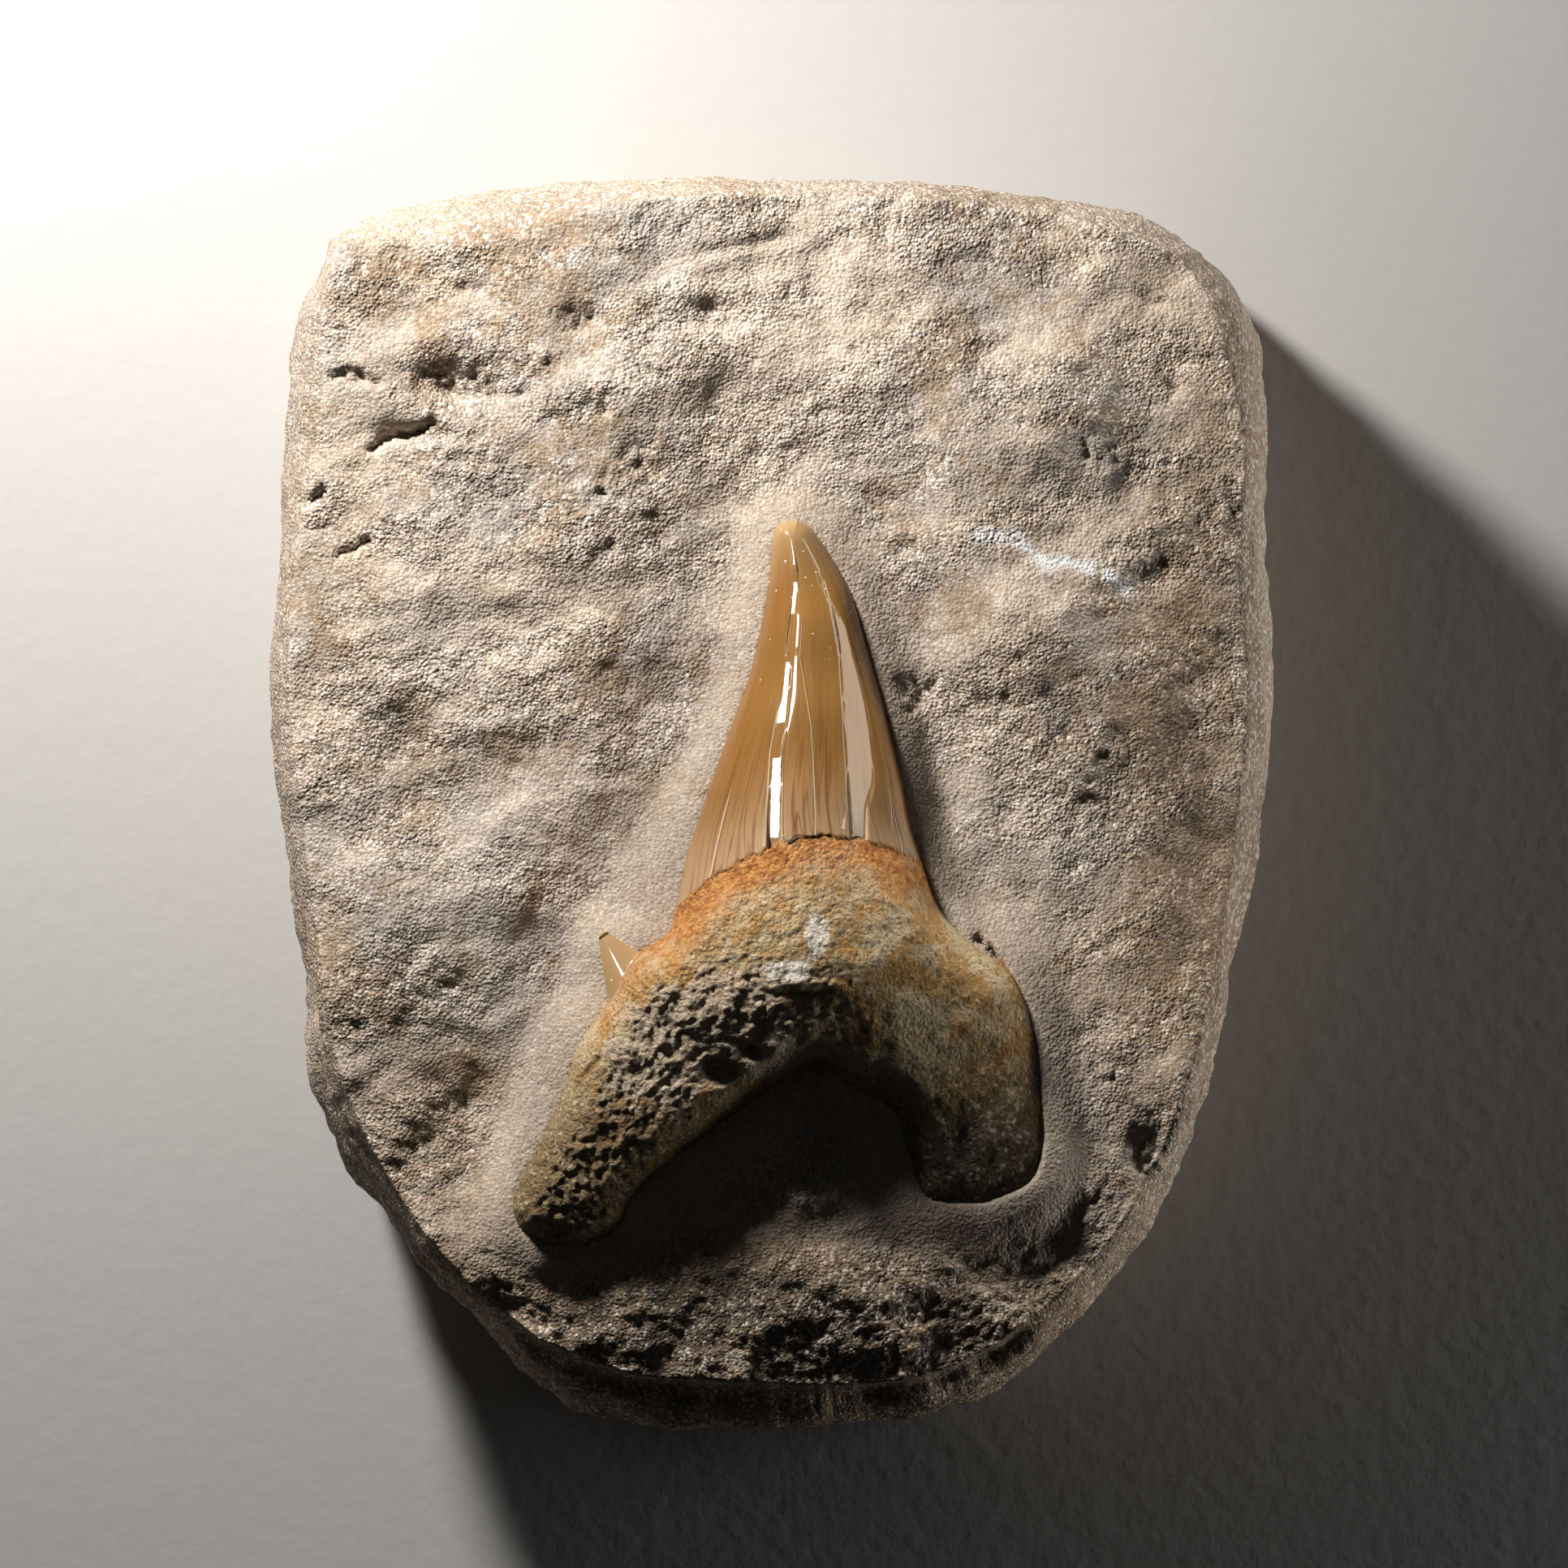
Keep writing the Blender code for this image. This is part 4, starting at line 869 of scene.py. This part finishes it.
def tooth_mesh(grid):
    """The tooth: a fine face, and a coarser back that stays hidden in the rock."""
    face, back, dome = tooth_heights(grid)
    points = grid.reshape(-1, 2)
    plate = growth_lines(grid)
    for number, start, course in FLAT_PLATES:
        face = lay_plate(face, grid, plate, number, start, course)
    row = root_share()
    rooted = (smoothstep(1.0, 1.06, row) + np.zeros(dome.shape)).ravel()
    stuck = stuck_rock(points) * rooted
    relief = root_relief(points, stuck) * rooted * smoothstep(0.0, 0.12, dome).ravel()
    front = np.arange(len(points)).reshape(dome.shape)
    front[0] = 0
    faces = [list(dict.fromkeys(corners)) for corners in quads(front)]
    back_rows, back_columns = (np.arange(BACK_STEP, size - 1, BACK_STEP) for size in dome.shape)
    inner = np.ix_(back_rows, back_columns)
    hidden = front[::BACK_STEP, ::BACK_STEP].copy()
    hidden[1:-1, 1:-1] = len(points) + np.arange(back[inner].size).reshape(back[inner].shape)
    faces += back_faces(front, hidden)
    front_vertices = np.column_stack([points, face.ravel() + relief])
    back_vertices = np.column_stack([grid[inner].reshape(-1, 2), back[inner].ravel()])
    vertices = np.vstack([front_vertices, back_vertices])
    total = len(vertices)
    zones, lobe_shade = root_zones(vertices[:, :2])
    across = np.linspace(0.0, 1.0, dome.shape[1])[None, :]
    growth = [np.broadcast_to(value, dome.shape).ravel() for value in (across, plate, row)]
    fields = {
        "growth": np.column_stack([padded(value, total) for value in growth]),
        "cracked": padded(crack_strength(plate, row), total),
        "stuck": padded(stuck, total),
        "hollow": padded(np.clip(0.5 - relief / ROOT_RELIEF, 0.0, 1.0), total, 0.5),
        "root_zone": zones,
        "lobe_shade": lobe_shade,
    }
    return make_piece("tooth", vertices, faces, fields)


def crack_strength(plate, row):
    """How clearly the nearest crack shows at each vertex; each starts at its own share down."""
    starts = np.array([2.0, *[start for start, _ in CRACKS], 2.0])
    nearest = starts[np.rint(plate).astype(int)]
    return smoothstep(nearest - 0.02, nearest + 0.08, row).ravel()


def root_zones(points):
    """Shares of rust, of pale dust and of olive in the root's colour, and how strongly painted shade darkens
    the right lobe.
    """
    line = curve_through(ENAMEL_LINE, np.linspace(0, 1, 40))
    below = distance_to_line(points, line)
    side = distance_to_line(points, curve_through(ROOT_LEFT[:4], np.linspace(0, 1, 20)))
    wander = unevenness(flat_places(points), *RUST_WANDER)
    rust = 1.4 * np.exp(-(((below + wander) / RUST_WIDTH) ** 2))
    rust += 0.7 * np.exp(-(((side + wander) / SIDE_RUST_WIDTH) ** 2))
    dust = swells(points, PALE_SMEARS)
    olive = smoothstep(*OLIVE_DOWN, points[:, 1] + 2 * wander)
    lobe_shade = (1 + 0.3 * wander / MM) * swell(points, *SHADED_LOBE)
    return np.clip(np.column_stack([rust, dust, olive]), 0.0, 1.0), np.clip(lobe_shade, 0.0, 1.0)


class Look:
    """A material and short ways to add the nodes that it is made of."""

    def __init__(self, name, **uniform):
        self.material = bpy.data.materials.new(name)
        self.material.use_nodes = True
        self.tree = self.material.node_tree
        self.shader = self.tree.nodes["Principled BSDF"]
        for socket, value in uniform.items():
            self.shader.inputs[socket.replace("_", " ")].default_value = value
        self.place = self.tree.nodes.new("ShaderNodeTexCoord").outputs["Object"]

    def feed(self, socket, value):
        """Link an output to a socket, or set the socket to a plain value."""
        if isinstance(value, bpy.types.NodeSocket):
            self.tree.links.new(value, socket)
        elif isinstance(value, tuple) and len(value) == 3 and len(socket.default_value) == 4:
            socket.default_value = (*value, 1.0)
        else:
            socket.default_value = value

    def field(self, name, part=None):
        """A named vertex attribute, or one component of it."""
        node = self.tree.nodes.new("ShaderNodeAttribute")
        node.attribute_name = name
        if part is None:
            return node.outputs["Fac"]
        if part == "XYZ":
            return node.outputs["Vector"]
        split = self.tree.nodes.new("ShaderNodeSeparateXYZ")
        self.tree.links.new(node.outputs["Vector"], split.inputs[0])
        return split.outputs[part]

    def stretched(self, vector, scale):
        """A vector scaled along each axis."""
        node = self.tree.nodes.new("ShaderNodeMapping")
        self.tree.links.new(vector, node.inputs["Vector"])
        node.inputs["Scale"].default_value = scale
        return node.outputs["Vector"]

    def noise(self, size, vector=None, detail=4.0, rough=0.55, twist=0.0):
        """Noise from 0 to 1 with features of this size."""
        node = self.tree.nodes.new("ShaderNodeTexNoise")
        self.tree.links.new(vector or self.place, node.inputs["Vector"])
        node.inputs["Scale"].default_value = 1.0 / size
        node.inputs["Detail"].default_value = detail
        node.inputs["Roughness"].default_value = rough
        node.inputs["Distortion"].default_value = twist
        return node.outputs["Fac"]

    def cells(self, size, output="Distance"):
        """Grain-like cells of this size: the distance from each one's middle, or its own colour."""
        node = self.tree.nodes.new("ShaderNodeTexVoronoi")
        self.tree.links.new(self.place, node.inputs["Vector"])
        node.inputs["Scale"].default_value = 1.0 / size
        return node.outputs[output]

    def math(self, operation, first, second=0.0, third=0.0):
        """One step of arithmetic."""
        node = self.tree.nodes.new("ShaderNodeMath")
        node.operation = operation
        for socket, value in zip(node.inputs, (first, second, third)):
            self.feed(socket, value)
        return node.outputs[0]

    def between(self, value, low, high, to_low=0.0, to_high=1.0):
        """A value's place between low and high, as a smooth share."""
        node = self.tree.nodes.new("ShaderNodeMapRange")
        node.interpolation_type = "SMOOTHSTEP"
        self.feed(node.inputs["Value"], value)
        numbers = {"From Min": low, "From Max": high, "To Min": to_low, "To Max": to_high}
        for socket, number in numbers.items():
            node.inputs[socket].default_value = number
        return node.outputs["Result"]

    def mix(self, share, first, second):
        """A mixture of two colours."""
        node = self.tree.nodes.new("ShaderNodeMix")
        node.data_type = "RGBA"
        self.feed(node.inputs["Factor"], share)
        self.feed(node.inputs[6], first)
        self.feed(node.inputs[7], second)
        return node.outputs[2]

    def over(self, colour, share, added, strength):
        """A colour with another laid over it by a share and a strength."""
        return self.mix(self.math("MULTIPLY", share, strength), colour, added)

    def bump(self, height, distance):
        """Fine relief, in metres from a height of 0 to 1."""
        node = self.tree.nodes.new("ShaderNodeBump")
        node.inputs["Distance"].default_value = distance
        self.feed(node.inputs["Height"], height)
        return node.outputs["Normal"]

    def finish(self, colour, roughness, normal):
        """Link the last nodes to the shader."""
        for socket, value in (("Base Color", colour), ("Roughness", roughness), ("Normal", normal)):
            self.feed(self.shader.inputs[socket], value)
        return self.material


def rock_look():
    """Sandy limestone: cream to grey-brown, granular, with pale crumbs and dark specks; painted shade in its
    crevices and between its grains.
    """
    look = Look("sandy_rock", Specular_IOR_Level=0.25)
    rough, carved_share = look.field("rough"), look.field("carved")
    patches = look.noise(14 * MM, detail=5.0, rough=0.6, twist=0.4)
    colour = look.mix(look.between(patches, 0.38, 0.62), CREAM, GREY_ROCK)
    tint = look.between(look.noise(7 * MM, detail=6.0, rough=0.7, twist=0.5), 0.48, 0.62)
    colour = look.over(colour, tint, BROWN_ROCK, 0.75)
    uneven = look.between(look.noise(5 * MM, detail=6.0), 0.25, 0.5)
    broken = look.math("MULTIPLY", look.field("stain"), uneven)
    colour = look.over(colour, look.math("MINIMUM", broken, 1.0), BROWN_ROCK, 0.85)
    # darkest where the strength is high: on the right edge's stain and towards the foot
    colour = look.mix(look.between(broken, 0.8, 1.9, 0.0, 0.85), colour, DARK_ROCK)
    colour = look.mix(look.between(look.field("stain"), 0.0, -1.0, 0.0, 0.8), colour, BLEACHED)
    colour = look.over(colour, carved_share, PALE_ROCK, 0.65)
    speckle = look.noise(0.9 * MM, detail=3.0)
    # darker in the hollows of the relief: painted shade in the crevices, with some random grime
    dirt_and_shade = look.between(look.math("MULTIPLY_ADD", speckle, 0.4, look.field("hollow")), 0.85, 1.2)
    colour = look.over(colour, dirt_and_shade, ROCK_DIRT_AND_SHADE, 0.5)
    grain = look.cells(0.3 * MM, output="Color")
    gaps = look.cells(0.3 * MM)
    shown = look.math("ADD", look.math("MULTIPLY", rough, 0.4), 0.2)
    # randomly dark grains, and painted shade in the gaps between the grains
    dark = look.math("MAXIMUM", look.between(gaps, 0.5, 0.8), look.between(grain, 0.33, 0.2))
    colour = look.over(colour, dark, DARK_GRAIN_AND_GAP_SHADE, shown)
    colour = look.over(colour, look.between(grain, 0.62, 0.8), PALE_GRAIN, shown)
    colour = look.over(colour, look.field("vein"), VEIN_WHITE, look.between(look.noise(1.2 * MM), 0.3, 0.5))
    sand = look.math("MULTIPLY_ADD", gaps, -0.7, look.noise(0.6 * MM, detail=3.0, rough=0.7))
    normal = look.bump(look.math("MULTIPLY", sand, look.math("MULTIPLY_ADD", rough, 0.6, 0.35)), 0.25 * MM)
    return look.finish(colour, 0.95, normal)


def enamel_look():
    """Polished honey-amber enamel with reddish growth lines, paler by the root; painted shade and light
    across it, a painted tip sheen and crack glints.
    """
    look = Look("fossil_enamel", Specular_IOR_Level=0.15, Coat_Weight=1.0, Coat_Roughness=0.04, Coat_IOR=1.5)
    growth, down = look.field("growth", "XYZ"), look.field("growth", "Z")
    # amber to honey across the crown, darker on the left where the key lamp strikes it most: painted shade
    # on the left and painted light on the right
    colour = look.mix(look.between(look.field("growth", "X"), 0.1, 0.8), ENAMEL_AMBER, ENAMEL_HONEY)
    cloud = look.noise(1.0, look.stretched(growth, (9.0, 0.0, 2.2)), detail=5.0, rough=0.65)
    colour = look.mix(look.between(cloud, 0.45, 0.7, 0.0, 0.6), colour, ENAMEL_DEEP)
    # paler towards the tip: the tip's duller tan with a painted soft sheen
    colour = look.mix(look.between(down, 0.28, 0.0), colour, PALE_TIP_AND_SHEEN)
    colour = look.mix(look.between(down, 0.72, 1.02), colour, ENAMEL_BASE)
    lines = look.noise(1.0, look.stretched(growth, (38.0, 0.0, 2.2)), detail=2.0, rough=0.6)
    shown = look.between(down, 0.4, 0.95, 0.08, 0.6)
    colour = look.over(colour, look.between(lines, 0.54, 0.64), STRIA, shown)
    streaks = look.noise(1.0, look.stretched(growth, (75.0, 0.0, 2.5)), detail=2.0)
    colour = look.mix(look.between(streaks, 0.5, 0.7, 0.0, 0.22), colour, ENAMEL_BASE)
    threads = look.noise(1.0, look.stretched(growth, (26.0, 0.0, 1.5)), detail=1.0)
    thin = look.between(look.math("ABSOLUTE", look.math("SUBTRACT", threads, 0.5)), 0.025, 0.006)
    colour = look.over(colour, thin, STRIA, look.between(down, 0.45, 0.95, 0.1, 0.55))
    plate = look.math("FRACT", look.field("growth", "Y"))
    cracked = look.field("cracked")
    dark = look.math("MULTIPLY", look.between(plate, 0.05, 0.015), cracked)
    # the pale side of each crack: partly whitish crack, partly a painted glint
    pale = look.math("MULTIPLY", look.between(plate, 0.94, 0.98), cracked)
    colour = look.over(colour, dark, CRACK_DARK, 0.6)
    colour = look.over(colour, pale, CRACK_PALE_AND_GLINT, 0.6)
    dust = look.between(look.cells(1.1 * MM), 0.1, 0.06)
    colour = look.over(colour, dust, PALE_GRAIN, look.between(down, 0.6, 0.3))
    return look.finish(colour, 0.35, look.bump(dark, -0.12 * MM))


def root_look():
    """Porous root: rust under the enamel, then cream and ochre, olive on the lobes, with stuck rock; painted
    shade in its hollows and on the right lobe.
    """
    look = Look("fossil_root", Specular_IOR_Level=0.3)
    mottle = look.noise(3.2 * MM, detail=5.0, rough=0.55)
    colour = look.mix(look.between(mottle, 0.42, 0.58), OCHRE, ROOT_CREAM)
    colour = look.over(colour, look.field("root_zone", "Z"), OLIVE, 0.85)
    # painted shade on the right lobe
    colour = look.over(colour, look.field("lobe_shade"), LOBE_SHADE_COLOUR, 0.85)
    clinging = look.math("MULTIPLY_ADD", look.noise(0.8 * MM), 0.8, look.field("stuck"))
    colour = look.over(colour, look.between(clinging, 0.7, 1.1), CLINGING_ROCK, 0.8)
    smear = look.math("MULTIPLY", look.field("root_zone", "Y"), look.noise(0.9 * MM, rough=0.7))
    colour = look.over(colour, look.between(smear, 0.22, 0.42), SMEAR, 0.95)
    # darker in the root's hollows: painted shade in its pits and between its knobs, with some random grime
    dirt_and_shade = look.math("MULTIPLY_ADD", look.noise(0.6 * MM), 0.35, look.field("hollow"))
    colour = look.over(colour, look.between(dirt_and_shade, 0.78, 1.08), ROOT_DIRT_AND_SHADE, 0.4)
    fine = look.noise(0.28 * MM, detail=4.0, rough=0.65)
    colour = look.over(colour, look.between(fine, 0.42, 0.34), ROOT_DIRT_AND_SHADE, 0.6)
    grain = look.cells(0.35 * MM, output="Color")
    colour = look.mix(look.between(grain, 0.24, 0.14, 0.0, 0.55), colour, ROOT_SPECK)
    colour = look.mix(look.between(grain, 0.70, 0.84, 0.0, 0.45), colour, ROOT_PALE)
    patchy = look.noise(0.7 * MM, detail=4.0, rough=0.7)
    stain = look.mix(look.between(patchy, 0.45, 0.58), RUST, RUST_BRIGHT)
    stain = look.mix(look.between(patchy, 0.42, 0.34, 0.0, 0.7), stain, ROOT_SPECK)
    shown = look.between(mottle, 0.7, 0.5, 0.55, 0.95)
    colour = look.over(colour, look.field("root_zone", "X"), stain, shown)
    gaps = look.cells(0.4 * MM)
    normal = look.bump(look.math("MULTIPLY_ADD", gaps, -0.5, fine), 0.45 * MM)
    return look.finish(colour, look.between(look.field("root_zone", "Z"), 0.0, 1.0, 0.8, 0.4), normal)


def make_floor():
    """A plain pale floor under the block."""
    corners = np.array([(-1.0, -1.0, 0.0), (1.0, -1.0, 0.0), (1.0, 1.0, 0.0), (-1.0, 1.0, 0.0)])
    floor = make_piece("floor", FLOOR_REACH * corners, [[0, 1, 2, 3]], {})
    look = Look("floor")
    look.finish(FLOOR_COLOUR, 0.85, look.bump(look.noise(2 * MM), 0.05 * MM))
    floor.data.materials.append(look.material)


def aimed(lamp, place, target):
    """Put a lamp at a place and turn it to a target, with its height along +Y."""
    back = (Vector(place) - Vector(target)).normalized()
    side = Vector((0.0, 1.0, 0.0)).cross(back).normalized()
    turn = Matrix((side, back.cross(side), back)).transposed()
    lamp.matrix_world = Matrix.Translation(place) @ turn.to_4x4()


def add_lamp(name, place, target, size, power, colour, lights, shines):
    """A rectangular lamp that faces its target and lights surfaces, shines in glossy ones or does both."""
    data = bpy.data.lights.new(name, "AREA")
    data.shape = "RECTANGLE"
    data.size, data.size_y = size
    data.energy = power
    data.color = colour
    lamp = bpy.data.objects.new(name, data)
    bpy.context.collection.objects.link(lamp)
    aimed(lamp, place, target)
    lamp.visible_camera = False
    lamp.visible_diffuse = lights
    lamp.visible_glossy = shines


def light_scene():
    """The lamps and a faint even light from all round."""
    for lamp in LAMPS:
        add_lamp(*lamp)
    world = bpy.data.worlds.new("studio")
    world.use_nodes = True
    background = world.node_tree.nodes["Background"]
    background.inputs["Color"].default_value = (*WARM_WHITE, 1.0)
    background.inputs["Strength"].default_value = SKY_STRENGTH
    bpy.context.scene.world = world


def add_camera():
    """A camera that looks straight down at the face, as in the photograph."""
    data = bpy.data.cameras.new("camera")
    data.sensor_width = CAMERA_SENSOR
    data.lens = CAMERA_LENS
    data.clip_start, data.clip_end = 0.01, 10.0
    camera = bpy.data.objects.new("camera", data)
    bpy.context.collection.objects.link(camera)
    camera.location = CAMERA_PLACE
    bpy.context.scene.camera = camera


def build_rock(outline):
    """The rock piece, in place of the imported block."""
    rock = rock_mesh(outline)
    rock.data.materials.append(rock_look())
    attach(rock, "root")
    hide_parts("matrix_block")


def build_tooth(grid):
    """The tooth piece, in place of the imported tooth."""
    tooth = tooth_mesh(grid)
    tooth.data.materials.append(root_look())
    tooth.data.materials.append(enamel_look())
    slots = np.zeros(len(tooth.data.polygons), np.int32)
    slots[: CROWN_ROWS * TOOTH_COLUMNS] = 1
    tooth.data.polygons.foreach_set("material_index", slots)
    cusplet = cusplet_mesh()
    for material in tooth.data.materials:
        cusplet.data.materials.append(material)
    cusplet.data.polygons.foreach_set("material_index", np.ones(len(cusplet.data.polygons), np.int32))
    fused(tooth, cusplet)
    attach(tooth, "root")
    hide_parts("shark_tooth")


def cusplet_mesh():
    """The side cusplet: a flattened spike that widens from its tip into the root."""
    tip, foot = np.array(CUSPLET_TIP), np.array(CUSPLET_FOOT)
    along = (foot - tip) / np.linalg.norm(foot - tip)
    side = np.array([-along[1], along[0], 0.0])
    side /= np.linalg.norm(side)
    over = np.cross(along, side)
    shares = np.linspace(0.0, 1.0, CUSPLET_RINGS + 1)[1:]
    turns = np.linspace(0.0, 2 * np.pi, CUSPLET_SIDES, endpoint=False)
    vertices = [tip[None]]
    for share in shares:
        middle = tip + share * (foot - tip) - CUSPLET_BEND * math.sin(math.pi * share) * side
        half_width = CUSPLET_WIDTH / 2 * (0.1 + 0.9 * share)
        half_depth = CUSPLET_DEPTH / 2 * share**0.8
        ring = half_width * np.cos(turns)[:, None] * side + half_depth * np.sin(turns)[:, None] * over
        vertices.append(middle + ring)
    index = 1 + np.arange(CUSPLET_RINGS * CUSPLET_SIDES).reshape(CUSPLET_RINGS, CUSPLET_SIDES)
    index = np.column_stack([index, index[:, 0]])
    faces = [[0, int(near), int(far)] for near, far in zip(index[0], index[0, 1:])]
    faces += quads(index, flip=True)
    faces.append(index[-1, -2::-1].tolist())
    vertices = np.vstack(vertices)
    down = np.concatenate([[0.0], np.repeat(shares, CUSPLET_SIDES)])
    growth = np.column_stack([np.full(len(vertices), 0.3), np.full(len(vertices), 0.5), 0.45 * down])
    return make_piece("cusplet", vertices, faces, {"growth": growth})


def fused(piece, other):
    """Fuse another closed piece into this one and delete the other."""
    union = piece.modifiers.new("union", "BOOLEAN")
    union.operation = "UNION"
    union.solver = "EXACT"
    union.object = other
    whole = bpy.data.meshes.new_from_object(piece.evaluated_get(bpy.context.evaluated_depsgraph_get()))
    piece.modifiers.clear()
    piece.data = whole
    bpy.data.objects.remove(other)


plan = tooth_grid()
build_rock(outline_of(plan)[::4])
build_tooth(plan)
make_floor()
light_scene()
add_camera()
bpy.context.scene.view_settings.view_transform = "Standard"
